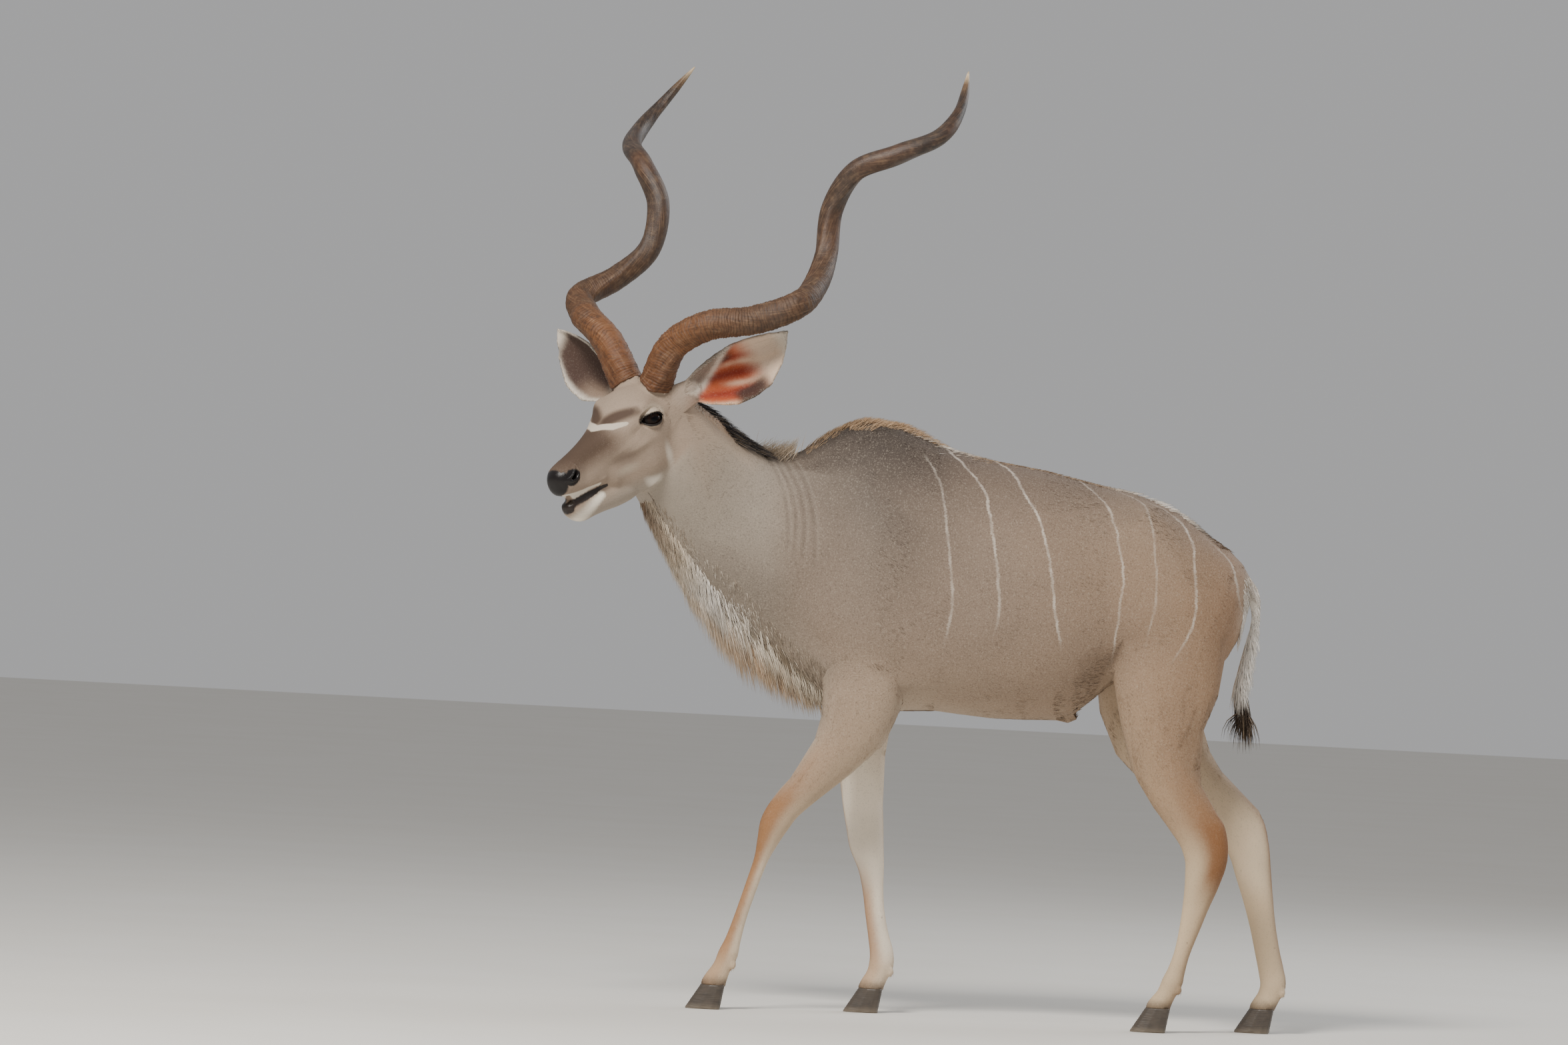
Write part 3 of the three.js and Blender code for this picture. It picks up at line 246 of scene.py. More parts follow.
def run_length(points):
    """How far along the line each of its points lies."""
    return np.concatenate([[0], np.cumsum(np.linalg.norm(np.diff(points, axis=0), axis=1))])


def ramp(low, high, x):
    t = np.clip((x - low) / (high - low), 0, 1)
    return t * t * (3 - 2 * t)


def bell(x, middle, wide):
    return np.exp(-(((x - middle) / wide) ** 2))


def smooth_rows(rows, count):
    """Catmull-Rom rows at even steps through the table."""
    last = len(rows) - 1
    u = np.linspace(0, last, count)
    i = np.minimum(u.astype(int), last - 1)
    f = (u - i)[:, None]
    a, b, c, d = (rows[np.clip(i + k, 0, last)] for k in (-1, 0, 1, 2))
    return b + 0.5 * f * (c - a + f * (2 * a - 5 * b + 4 * c - d + f * (3 * (b - c) + d - a)))


def along(pairs, x):
    """Linear values at x through (x, y) pairs."""
    xs, ys = zip(*pairs)
    return np.interp(x, xs, ys)


def to_metres(points):
    """Table millimetres to row frame metres."""
    return np.asarray(points) / 1000 + SHIFT


def to_table(points):
    """Row frame metres to table millimetres."""
    return (points - SHIFT) * 1000


def to_head(points):
    """Row frame metres to head axes in millimetres."""
    return (to_table(points) - HEAD_AT) @ HEAD_AXES.T


def one_sided(h):
    """Head points with the right half folded onto the left."""
    return h * (1, 0, 1) + (0, 1, 0) * np.abs(h)


def from_head(points):
    """Head axes in millimetres to row frame metres."""
    return to_metres(np.asarray(points, float) @ HEAD_AXES + HEAD_AT)


def sections(centre, up, side, top, bottom, half, square, count):
    """Rings round the centres, squarer with `square` above two."""
    a = TURN * np.arange(count) / count
    s, c = np.sin(a), np.cos(a)
    power = (2 / np.asarray(square, float))[:, None]
    across = np.asarray(half)[:, None] * np.sign(s) * np.abs(s) ** power
    reach = np.where(c > 0, np.asarray(top)[:, None], np.asarray(bottom)[:, None])
    reach = reach * np.sign(c) * np.abs(c) ** power
    return centre[:, None] + across[..., None] * side[:, None] + reach[..., None] * up[:, None]


def swell(rings, forms, local=None):
    """Ring points pushed out or in where a form reaches them."""
    here = rings if local is None else (rings - HEAD_AT) @ HEAD_AXES.T
    here = here.copy()
    here[..., 1] = np.abs(here[..., 1])
    lift = sum(
        high * np.exp(-(((here - np.array(at)) / np.array(reach)) ** 2).sum(-1)) for at, reach, high in forms
    )
    out = unit(rings - rings.mean(1, keepdims=True))
    return rings + out * lift[..., None]


def tube(rings):
    """Vertices and faces of a closed skin over rings, with a fan at each end."""
    count, sides = rings.shape[:2]
    ends = np.stack([rings[0].mean(0), rings[-1].mean(0)])
    j = np.arange(sides)
    k = (j + 1) % sides
    step = sides * np.arange(count - 1)[:, None]
    a, b = (step + j).ravel(), (step + k).ravel()
    quads = np.stack([a, b, b + sides, a + sides], 1).tolist()
    first = count * sides
    base = first - sides
    start = np.stack([np.full(sides, first), k, j], 1).tolist()
    stop = np.stack([np.full(sides, first + 1), base + j, base + k], 1).tolist()
    return np.vstack([rings.reshape(-1, 3), ends]), quads + start + stop


def ball(centre, radii, axes, rings=16, sides=24):
    """A closed ellipsoid as a tube of rings."""
    a = np.linspace(0.02, math.pi - 0.02, rings)
    b = TURN * np.arange(sides) / sides
    way = np.stack([
        np.sin(a)[:, None] * np.cos(b),
        np.sin(a)[:, None] * np.sin(b),
        np.repeat(np.cos(a)[:, None], sides, 1),
    ], -1)
    return tube(np.asarray(centre) + (way * radii) @ np.asarray(axes))


def mesh_of(name, parts):
    """One mesh from several lists of vertices and faces, with its faces pointing outwards."""
    points, faces, first = [], [], 0
    for verts, polys in parts:
        points.append(verts)
        faces += [[v + first for v in poly] for poly in polys]
        first += len(verts)
    mesh = bpy.data.meshes.new(name)
    mesh.from_pydata(np.vstack(points).tolist(), [], faces)
    bm = bmesh.new()
    bm.from_mesh(mesh)
    bmesh.ops.recalc_face_normals(bm, faces=bm.faces)
    bm.to_mesh(mesh)
    bm.free()
    return mesh


def new_object(name, mesh):
    made = bpy.data.objects.new(name, mesh)
    bpy.context.scene.collection.objects.link(made)
    return made


def baked(obj, name):
    """The evaluated mesh of obj as a plain mesh; obj is removed."""
    graph = bpy.context.evaluated_depsgraph_get()
    mesh = bpy.data.meshes.new_from_object(obj.evaluated_get(graph), depsgraph=graph)
    mesh.name = name
    bpy.data.objects.remove(obj)
    return mesh


def fused(obj, voxel, name):
    """The object's mesh fused into one closed skin of small cells; the object is removed."""
    fuse = obj.modifiers.new("Fuse", "REMESH")
    fuse.mode = "VOXEL"
    fuse.voxel_size = voxel
    return baked(obj, name)


def through(obj, tree, values, name):
    """The object's mesh after a node tree with these inputs; the object is removed."""
    modifier = obj.modifiers.new(tree.name, "NODES")
    modifier.node_group = tree
    for item in tree.interface.items_tree:
        if item.in_out == "INPUT" and item.name in values:
            modifier[item.identifier] = values[item.name]
    return baked(obj, name)


def finish(name, mesh, material, slot, *nodes):
    """The finished piece with its material, its body and the nodes that it stands for; the slot is not used.
    """
    mesh.materials.clear()
    mesh.materials.append(material)
    piece = new_object(name, mesh)
    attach(piece, "root")
    if nodes:
        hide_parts(*nodes)
    print(name, "triangles", sum(len(p.vertices) - 2 for p in mesh.polygons))


def rows_of(items, key, width, kind=np.float32):
    """One property of a mesh's items as a table."""
    values = np.empty(len(items) * width, kind)
    items.foreach_get(key, values)
    return values.reshape(-1, width)


def points_of(mesh):
    return rows_of(mesh.vertices, "co", 3).astype(float)


def set_points(mesh, co):
    mesh.vertices.foreach_set("co", np.asarray(co, np.float32).ravel())
    mesh.update()


def normals_of(mesh):
    return rows_of(mesh.vertex_normals, "vector", 3).astype(float)


def edges_of(mesh):
    return rows_of(mesh.edges, "vertices", 2, np.int32)


def shade_smooth(mesh):
    mesh.polygons.foreach_set("use_smooth", np.ones(len(mesh.polygons), bool))


def eased(values, edges, share, rounds, back=0.0):
    """Values averaged with their neighbours; `back` undoes the shrinking of a form."""
    values = values.copy()
    n = len(values)
    a, b = edges.T
    count = np.maximum(np.bincount(a, minlength=n) + np.bincount(b, minlength=n), 1)
    for _ in range(rounds):
        for step in (share, -back * np.sign(share)):
            if not np.any(step):
                continue
            mean = np.stack([
                (np.bincount(a, values[b, k], n) + np.bincount(b, values[a, k], n)) / count
                for k in range(values.shape[1])
            ], 1)
            values += np.reshape(step, (-1, 1)) * (mean - values)
    return values


def fill(made, values):
    field = {"FLOAT": "value", "FLOAT_VECTOR": "vector", "FLOAT_COLOR": "color"}[made.data_type]
    made.data.foreach_set(field, np.asarray(values, np.float32).ravel())


def store(mesh, name, values, kind="FLOAT"):
    """A vertex attribute of floats, vectors or colours."""
    fill(mesh.attributes.new(name, kind, "POINT"), values)


def body_frames(count):
    """Centres, axes and half sizes of sections along torso and neck, mm."""
    rows = smooth_rows(SPINE, count)
    top = np.stack([rows[:, 0], rows[:, 4], rows[:, 1]], 1)
    bottom = np.stack([rows[:, 2], rows[:, 4], rows[:, 3]], 1)
    centre = bottom + (top - bottom) * rows[:, 7:8]
    turn = np.radians(rows[:, 5])
    side = np.stack([np.sin(turn), -np.cos(turn), np.zeros(count)], 1)
    return rows, centre, unit(top - bottom), side, top, bottom


def body_tube(inset):
    rows, centre, up, side, top, bottom = body_frames(150)
    above, below = (np.linalg.norm(line - centre, axis=1) - inset for line in (top, bottom))
    rings = sections(centre, up, side, above, below, rows[:, 6] - inset, rows[:, 8], 72)
    return tube(to_metres(swell(rings, BODY_FORMS)))


def upright(run):
    """Axes up and to the side, square to a run that stays in an upright plane."""
    still = np.zeros(len(run))
    return np.stack([run[:, 2], still, -run[:, 0]], 1), np.repeat([[0.0, -1.0, 0.0]], len(run), 0)


def leg_frames(rows, count):
    rows = smooth_rows(rows, count)
    centre = rows[:, [0, 2, 1]]
    run = unit(np.gradient(centre, axis=0) * np.array([1, 0, 1]))
    run[-1] = (0, 0, -1)
    return rows, centre, *upright(run), run


def leg_tube(rows, inset):
    rows, centre, up, side, _ = leg_frames(rows, 90)
    ahead, behind, half = rows[:, 3:6].T - inset
    return tube(to_metres(sections(centre, up, side, ahead, behind, half, np.full(90, 2.15), 32)))


def head_tube(rows, count, sides, inset, forms=()):
    rows = smooth_rows(rows, count)
    place, top, bottom, level, half, square = rows.T
    centre = np.stack([place, 0 * place, level], 1) @ HEAD_AXES + HEAD_AT
    up, side = (np.repeat(axis[None], count, 0) for axis in (HEAD_N, HEAD_L))
    above, below = top - level - inset, level - bottom - inset
    rings = sections(centre, up, side, above, below, half - inset, square, sides)
    return tube(to_metres(swell(rings, forms, "head") if forms else rings))


def ear_frame(side):
    """Root, way, opening, front edge's way and length of one ear, mm."""
    flip = 1 if side == "left" else -1
    way, face = np.array(EAR_WAYS[side], float)
    axis = unit(way @ HEAD_AXES)
    opening = unit(face - face @ axis * axis)
    root = EAR_ROOT * (1, flip, 1) @ HEAD_AXES + HEAD_AT
    return root, axis, opening, np.cross(opening, axis) * flip, float(np.linalg.norm(way))


def ear_place(side, p):
    """Each point's share of the ear's length, and of its breadth, from -1 at the rear edge to 1."""
    start, axis, _, front, length = ear_frame(side)
    t = (p - start) @ axis / length
    cross = (p - start) @ front
    reach = np.where(cross > 0, along(EAR_FRONT, t), along(EAR_REAR, t))
    return t, cross / np.maximum(reach, 5)


def ear_tube(side, rings=44, arc=15):
    """A thin curled cup, filled at its root."""
    start, axis, opening, front, length = ear_frame(side)
    s = np.linspace(-1, 1, arc)
    out = []
    for t in np.linspace(0, 1, rings):
        fore, rear, depth = along(EAR_FRONT, t), along(EAR_REAR, t), along(EAR_DEPTH, t)

        def sheet(thin):
            reach = np.where(s > 0, fore - thin, rear - thin)
            deep = 0.35 * depth - np.maximum(depth - thin, 0.6) * (1 - s * s)
            across = np.outer(np.maximum(reach, 0.6) * s, front)
            return start + axis * length * t + across + np.outer(deep, opening)

        back = sheet(0.0)
        filled = ramp(0.32, 0.02, t)
        level = back + np.outer(depth * (1 - s * s) * 0.8, opening)
        inner = sheet(min(EAR_THICK, 0.8 * fore))
        inner = inner + (level - inner) * filled
        out.append(np.vstack([back, inner[::-1]]))
    return tube(to_metres(np.array(out)))


def horn_line(t):
    """Points on the left horn's middle line and its way, in head axes."""
    rows = smooth_rows(HORN_LINE, 1400)
    run = unit(np.gradient(rows, axis=0))
    at, way = (
        np.stack([np.interp(np.asarray(t) * 1399, np.arange(1400), line[:, k]) for k in range(3)], -1)
        for line in (rows, run)
    )
    return at, unit(way)


def horn_frame(t):
    """Middle line, keel direction, across direction and thickness of the left horn."""
    at, run = horn_line(t)
    ends, _ = horn_line(np.array([0.0, 1.0]))
    axis = unit(ends[1] - ends[0])
    up = unit(np.array([0, 0, 1.0]) - axis[2] * axis)
    out = np.cross(axis, up)
    a = KEEL_START + TURN * KEEL_TURNS * (t + KEEL_EASE * t * (1 - t))
    keel = in_surface(np.cos(a)[:, None] * up + np.sin(a)[:, None] * out, run)
    return at, keel, np.cross(run, keel), along(HORN_THICK, t)


def horn_rings(side, t, sides, more=0.0):
    """Rings of one horn in metres; the keel stands at ring angle zero."""
    at, keel, across, thick = horn_frame(t)
    a = TURN * np.arange(sides) / sides
    off = np.minimum(a, TURN - a)
    shape = 0.94 + KEEL_HIGH * bell(off, 0, KEEL_SPREAD) - 0.04 * np.cos(2 * a)
    out = (thick[:, None] + np.reshape(more, (-1, 1))) * shape
    points = at[:, None] + keel[:, None] * (out * np.cos(a))[..., None]
    points = points + across[:, None] * (out * np.sin(a))[..., None]
    return from_head(points if side == "left" else points * (1, -1, 1))


def tail_frames():
    rows = smooth_rows(TAIL, 60)
    centre = np.stack([rows[:, 0], 0 * rows[:, 0], rows[:, 1]], 1)
    run = unit(np.gradient(centre, axis=0))
    return rows, centre, *upright(run), run


def tail_tube(inset):
    rows, centre, up, side, _ = tail_frames()
    r = rows[:, 2] - inset
    return tube(to_metres(sections(centre, up, side, r, r, r, np.full(60, 2.0), 20)))


def label_points(co):
    """Which part of the animal each point belongs to, by the planes that part the solids."""
    p = to_table(co)
    x, y, z = p.T
    head = (p - HEAD_CUT) @ HEAD_CUT_WAY < 0
    label = np.where(head, "head", "body").astype("<U10")
    fore = ~head & (z < 738) & (x < 100)
    hind = ~head & (z < 836) & (x > 417) & ~((x < 470) & (z > 745) & (abs(y) < 30))
    for side, mine in (("_left", y < 0), ("_right", y >= 0)):
        label[fore & mine] = "fore" + side
        label[hind & mine] = "hind" + side
    near = np.full(len(p), FAR)
    close = (x > 700) & (abs(y) < 60) & (z > 740)
    near[close] = np.linalg.norm(p[close][:, None] - tail_frames()[1], axis=2).min(1)
    label[(near < 26) & ((x > 752) | ((z < 1040) & (x > 728)))] = "tail"
    for side in ("left", "right"):
        start, axis, opening, front, length = ear_frame(side)
        q = p - start
        t = q @ axis / length
        beside = (np.abs(q @ front) < 120) & (np.abs(q @ opening) < 75)
        label[beside & (t > 0.12) & (t < 1.1)] = "ear_" + side
    return label


ATLAS = {  # where each part's unwrap starts, metres
    "body": (0.05, 1.3), "head": (0.1, 3.0), "ear_left": (0.8, 2.8), "ear_right": (0.8, 3.25),
    "tail": (1.4, 3.0), "fore_left": (2.2, 0.35), "fore_right": (2.2, 1.0), "hind_left": (2.2, 1.7),
    "hind_right": (2.2, 2.45),
}
ATLAS_SIDE = 3.6


def nearest(p, centre, up=None, side=None):
    """Index of the nearest centre for each point, or of the section whose plane runs nearest through it."""
    across = None if up is None else unit(np.cross(up, side))
    out = np.empty(len(p), int)
    for k in range(0, len(p), BLOCK):
        q = p[k:k + BLOCK]
        far = (q ** 2).sum(1)[:, None] - 2 * q @ centre.T + (centre ** 2).sum(1)
        if up is not None:
            far = far + 12 * (q @ across.T - dots(across, centre)) ** 2
        out[k:k + BLOCK] = far.argmin(1)
    return out


def angle_round(q, up, side):
    return np.arctan2(dots(q, side), dots(q, up))


def part_way(name, co):
    """Length along the part, angle round it, mean radius and way of the hair for each point."""
    p = to_table(co)
    if name == "head":
        f, l, n = to_head(co).T
        back = np.full(len(f), -1.0)
        lie = unit(np.stack([back, 0.12 * np.sign(l), 0.18 * back], 1)) @ HEAD_AXES
        return (300 - f) / 1000, np.arctan2(l, n + 60), 0.075, lie
    if name.startswith("ear"):
        start, axis, opening, front, length = ear_frame(name[4:])
        q = p - start
        depth = along(EAR_DEPTH, q @ axis / length)
        inner = q @ opening > 0.35 * depth - 0.5 * depth
        angle = q @ front / 60 + np.where(inner, 1.9, -1.9)
        return q @ axis / 1000, angle, 0.06, np.repeat(axis[None], len(q), 0)
    if name == "body":
        rows, centre, up, side, top, bottom = body_frames(240)
        i = nearest(p, centre, up, side)
        radius = (rows[:, 6] + 0.5 * np.linalg.norm(top - bottom, axis=1)) / 2
        neck = ramp(-180, -420, p[:, 0])[:, None]
        run = unit(np.gradient(centre, axis=0))
        lie = -run[i] + np.array([0, 0, -0.35]) * (1 - neck) + np.array([0.1, 0, -0.75]) * neck
    elif name == "tail":
        rows, centre, up, side, run = tail_frames()
        i = nearest(p, centre)
        radius = rows[:, 2]
        lie = run[i]
    else:
        rows, centre, up, side, run = leg_frames(LEGS[name], 160)
        i = nearest(p, centre)
        radius = (rows[:, 3] + rows[:, 4] + 2 * rows[:, 5]) / 4
        lie = run[i] + np.array([0.15, 0, 0])
    q = p - centre[i]
    step = dots(q, unit(np.gradient(centre, axis=0))[i])
    return (run_length(centre)[i] + step) / 1000, angle_round(q, up[i], side[i]), radius[i] / 1000, lie


def unwrap(mesh, co, label):
    """A corner map named Unwrap: metres along and round each part, scaled into the unit square."""
    total = rows_of(mesh.polygons, "loop_total", 1, np.int32)[:, 0]
    corner = rows_of(mesh.loops, "vertex_index", 1, np.int32)[:, 0]
    face = np.repeat(np.arange(len(total)), total)
    start = np.concatenate([[0], np.cumsum(total)[:-1]])
    face_label = label[corner[start]]
    uv = np.zeros((len(corner), 2))
    for name, (u0, v0) in ATLAS.items():
        mine = face_label[face] == name
        if not mine.any():
            continue
        index = corner[mine]
        s, angle, radius, _ = part_way(name, co[index])
        first = np.zeros(len(corner))
        first[mine] = angle
        base = first[start][face][mine]
        angle = base + (angle - base + math.pi) % TURN - math.pi
        uv[mine, 0] = (u0 + s) / ATLAS_SIDE
        uv[mine, 1] = (v0 + angle * np.broadcast_to(radius, angle.shape)) / ATLAS_SIDE
    layer = mesh.uv_layers.new(name="Unwrap")
    layer.data.foreach_set("uv", np.clip(uv, 0.001, 0.999).astype(np.float32).ravel())


def body_row(p):
    """The SPINE row number, from rump to throat, for each point."""
    _, centre, up, side, _, _ = body_frames(481)
    return nearest(p, centre, up, side) / 20.0


def edge_line(p, upper):
    """The SPINE row nearest on the top or bottom line, and how far sideways and away each point lies."""
    _, _, _, side, top, bottom = body_frames(481)
    line = top if upper else bottom
    i = nearest(p, line)
    q = p - line[i]
    return i / 20.0, dots(q, side[i]), np.linalg.norm(q, axis=1), side[i]


def refine(mesh, chosen):
    """Faces whose three corners are chosen are divided in four."""
    bm = bmesh.new()
    bm.from_mesh(mesh)
    bm.verts.ensure_lookup_table()
    faces = [f for f in bm.faces if all(chosen[v.index] for v in f.verts)]
    edges = list({e for f in faces for e in f.edges})
    bmesh.ops.subdivide_edges(bm, edges=edges, cuts=1, use_grid_fill=True)
    bmesh.ops.triangulate(bm, faces=[f for f in bm.faces if len(f.verts) > 3])
    bm.to_mesh(mesh)
    bm.free()


EYE_LONG = 27.0
EYE_UPPER = 15.0
EYE_LOWER = 12.5
LID_RADIUS = 31.0


def eye_axes(side):
    """Centre and rearward, upward, outward axes of one eye, in head axes."""
    flip = np.array((1, side, 1))
    out = unit(EYE_OUT)
    rear = EYE_REAR - EYE_REAR @ out * out
    rear = unit(rear)
    up = np.cross(out, rear)
    return EYE_AT * flip, np.array([rear * flip, up * flip, out * flip])


def eye_measure(local):
    """How far out of the lid opening a point lies: below one is inside."""
    high = np.where(local[:, 1] > 0, EYE_UPPER, EYE_LOWER)
    rear = local[:, 0] / np.where(local[:, 0] < 0, EYE_LONG * 1.12, EYE_LONG)
    return np.sqrt(np.abs(rear) ** 1.75 + np.abs(local[:, 1] / high) ** 1.9)


def shape_face(co):
    """Lids, tear corners, nostrils, lips and folds pushed into the head's skin, in head axes."""
    h = to_head(co)
    for side in (1, -1):
        at, axes = eye_axes(side)
        q = (h - at) @ axes.T
        rear, up, out = q.T
        near = (out > -20) & (np.hypot(rear, up) < 62)
        m = eye_measure(q)
        flat = rear ** 2 + up ** 2
        lid = np.sqrt(np.maximum(LID_RADIUS ** 2 - flat, 60)) - 1.8 * bell(m, 1.62, 0.14) * (up > -6)
        hollow = np.sqrt(np.maximum((EYE_RADIUS - 5) ** 2 - flat, 16))
        wide = np.hypot(rear / np.where(rear < 0, 22.0, 24.0), up / np.where(up > 0, EYE_UPPER, EYE_LOWER))
        keep = ramp(1.4, 2.0, wide)
        form = lid * (1 - keep) + out * keep
        form = form + (hollow - form) * (1 - ramp(0.86, 1.02, m))
        q[:, 2] = np.where(near, form, out)
        h = np.where(near[:, None], q @ axes + at, h)
        # The nostril is a comma that opens forward and outward.
        n = h - np.array((252, 37 * side, -38))
        turn = math.radians(32)
        a = n[:, 0] * math.cos(turn) - n[:, 2] * math.sin(turn)
        b = n[:, 0] * math.sin(turn) + n[:, 2] * math.cos(turn)
        m = np.sqrt((a / 15) ** 2 + ((b - 0.018 * a ** 2 + 2) / 6.5) ** 2)
        here = (n[:, 1] * side > -22) & (h[:, 1] * side > 6)
        deep = 13 * (1 - ramp(0.45, 1.1, m)) - 2.4 * bell(m, 1.5, 0.4)
        h[:, 1] -= np.where(here, side * deep, 0)
    # The lips roll over the mouth line.
    f, l, n = h.T
    roll = 2.2 * bell(n, -91, 6) + 1.8 * bell(n, -113, 6)
    h[:, 1] += ramp(138, 168, f) * (n > -128) * (n < -78) * np.sign(l) * roll
    return from_head(h)


def relief(p):
    """How far the flesh stands or sinks along the drawn lines at each point, mm."""
    flat = p[:, [0, 2]]
    high = np.zeros(len(p))
    lines = [(tuple((x + on, z) for z, x in rows), wide, rise) for on, wide, rise in
             ((0, 4.0, -1.7), (9, 4.5, 0.6)) for rows in FOLDS]
    lines += [(points, wide, 1.35 * rise) for points, wide, rise in RELIEF]
    for points, wide, rise in lines:
        far = np.full(len(p), FAR)
        for a, b in zip(np.array(points[:-1], float), np.array(points[1:], float)):
            run = b - a
            t = np.clip((flat - a) @ run / (run @ run), 0, 1)
            far = np.minimum(far, np.linalg.norm(flat - a - t[:, None] * run, axis=1))
        high += rise * bell(far, 0, wide)
    return high


def shape_body(co, normal):
    """Folds, grooves and muscles of the neck, shoulder, ribs, flank and thigh."""
    p = to_table(co)
    facing = ramp(0.15, 0.6, np.abs(normal[:, 1])) * (np.sign(normal[:, 1]) == np.sign(p[:, 1]))
    return co + normal * (relief(p) * facing / 1000)[:, None]


def skin_parts(inset):
    """The closed tubes and balls that the skin is fused from."""
    parts = [body_tube(inset)] + [leg_tube(rows, inset) for rows in LEGS.values()]
    parts += [
        head_tube(SKULL, 90, 72, 1.0, HEAD_FORMS), head_tube(JAW, 50, 40, 1.0), head_tube(GUM, 12, 24, 0.0),
        ear_tube("left"), ear_tube("right"), tail_tube(3.0),
    ]
    for side in ("left", "right"):
        start, axis, opening, front, _ = ear_frame(side)
        root = to_metres(start + 4 * axis - 4 * opening)
        parts.append(ball(root, (0.052, 0.035, 0.027), (axis, front, opening)))
    stub = np.linspace(0, 0.115, 12)
    parts += [tube(horn_rings(side, stub, 32, np.linspace(4, -7, 12))) for side in ("left", "right")]
    level = np.eye(3)
    parts.append(ball(to_metres((318, 0, 757)), (0.040, 0.015, 0.021), level))
    for x, y, z in ((-460, -110, 112), (-76, 110, 104), (628, -114, 108), (889, 110, 104)):
        for lane in (-15, 15):
            parts.append(ball(to_metres((x, y + lane, z)), (0.009, 0.008, 0.013), level, 10, 12))
    return parts


def plainness(label, f, z):
    """How freely the skin may be thinned at each point: least on the face."""
    weight = np.ones(len(label))
    weight[(label == "head") & (f > -60)] = 0.12
    weight[np.char.startswith(label, "ear")] = 0.6
    weight[np.isin(label, tuple(LEGS)) & (z < 520)] = 0.7
    return weight


def ease_form(mesh):
    """The fused parts eased into each other; gives how freely the skin may be thinned at each point."""
    co = points_of(mesh)
    edges = edges_of(mesh)
    co = eased(co, edges, 0.5, 10, 0.52)
    f, l, n = to_head(co).T
    p = to_table(co)
    z = p[:, 2]
    label = label_points(co)
    head = label == "head"
    ear = np.char.startswith(label, "ear")
    co = eased(co, edges, np.where(ear, 0.5, 0.0), 14, 0.4)
    joint = np.abs((p - HEAD_CUT) @ unit(HEAD_CUT_WAY))
    soft = np.where(label == "body", 0.6, 0.0)
    soft = np.where((z < 900) & (z > 640) & ~ear, 0.6 * ramp(640, 720, z), soft)
    soft = np.where(head & (f < 0), 0.6 * ramp(150, 60, joint) * ramp(0, -30, f), soft)
    soft = np.maximum(soft, 0.45 * ramp(-95, -110, f) * head * (np.abs(l) < 120))
    corner = np.linalg.norm((np.stack([f, l, n], 1) - (142, 0, -104)) / (30, 60, 26), axis=1)
    soft = np.maximum(soft, 0.4 * ramp(1.0, 0.5, corner))
    soft = np.where(label == "tail", 0.1, soft)
    co = eased(co, edges, soft, 55)
    set_points(mesh, co)
    return plainness(label, f, z)


def thinned(mesh, weight, target):
    """The mesh with about this many triangles, fewest where the weight is high; the old one is used up."""
    thin = new_object("skin_thin", mesh)
    plain = thin.vertex_groups.new(name="plain")
    for share in np.unique(weight):
        plain.add(np.nonzero(weight == share)[0].tolist(), float(share), "REPLACE")
    fewer = thin.modifiers.new("Fewer", "DECIMATE")
    fewer.ratio = min(1.0, target / (2 * len(mesh.polygons)))
    fewer.vertex_group = "plain"
    fewer.vertex_group_factor = 4.0
    fewer.use_collapse_triangulate = True
    return baked(thin, "skin")


def refine_face(mesh):
    """Finer triangles round eyes and nostrils, on the lips and on the folds of the neck."""
    for wide in (2.3, 1.9):
        h = to_head(points_of(mesh))
        f, l, n = h.T
        chosen = np.zeros(len(h), bool)
        for side in (1, -1):
            at, axes = eye_axes(side)
            q = (h - at) @ axes.T
            chosen |= (eye_measure(q) < wide) & (q[:, 2] > -5) & (np.hypot(q[:, 0], q[:, 1]) < 58)
            chosen |= np.linalg.norm(h - (252, 34 * side, -40), axis=1) < 14 * wide
        if wide > 2:
            chosen |= (f > 130) & (n < -76) & (n > -128) & (np.abs(l) < 62)
            x, _, z = to_table(points_of(mesh)).T
            chosen |= (x > -475) & (x < -285) & (z > 1030) & (z < 1385)
        refine(mesh, chosen)


def build_skin(voxel, inset, target):
    """The whole animal's skin as one closed mesh."""
    source = new_object("skin_source", mesh_of("skin_source", skin_parts(inset)))
    mesh = fused(source, voxel, "skin_fused")
    mesh = thinned(mesh, ease_form(mesh), target)
    refine_face(mesh)
    co = points_of(mesh)
    edges = edges_of(mesh)
    f, l, n = to_head(co).T
    face = ((f > -70) & (np.abs(l) < 110) & (n > -200)).astype(float)
    co = eased(co, edges, 0.5 * face, 3, 0.0)
    co = shape_face(co)
    co = eased(co, edges, 0.35 * face, 1, 0.0)
    set_points(mesh, co)
    set_points(mesh, shape_body(co, normals_of(mesh)))
    shade_smooth(mesh)
    return mesh


def dress(mesh):
    """Maps that skin and coat share: the unwrap, the lie of the hair and the coat's broad tones."""
    co = points_of(mesh)
    label = label_points(co)
    edges = edges_of(mesh)
    unwrap(mesh, co, label)
    lie = np.zeros_like(co)
    for name in ATLAS:
        mine = label == name
        if mine.any():
            lie[mine] = unit(part_way(name, co[mine])[3])
    lie = eased(lie, edges, 0.5, 25)
    normal = normals_of(mesh)
    store(mesh, "lie", in_surface(lie, normal), "FLOAT_VECTOR")
    store(mesh, "tone", coat_tone(co, label, normal, edges), "FLOAT_COLOR")


def colour(red, green, blue):
    """Linear colour of a paint given as display values out of 255."""
    v = np.array((red, green, blue)) / 255
    return np.where(v > 0.04045, ((v + 0.055) / 1.055) ** 2.4, v / 12.92)


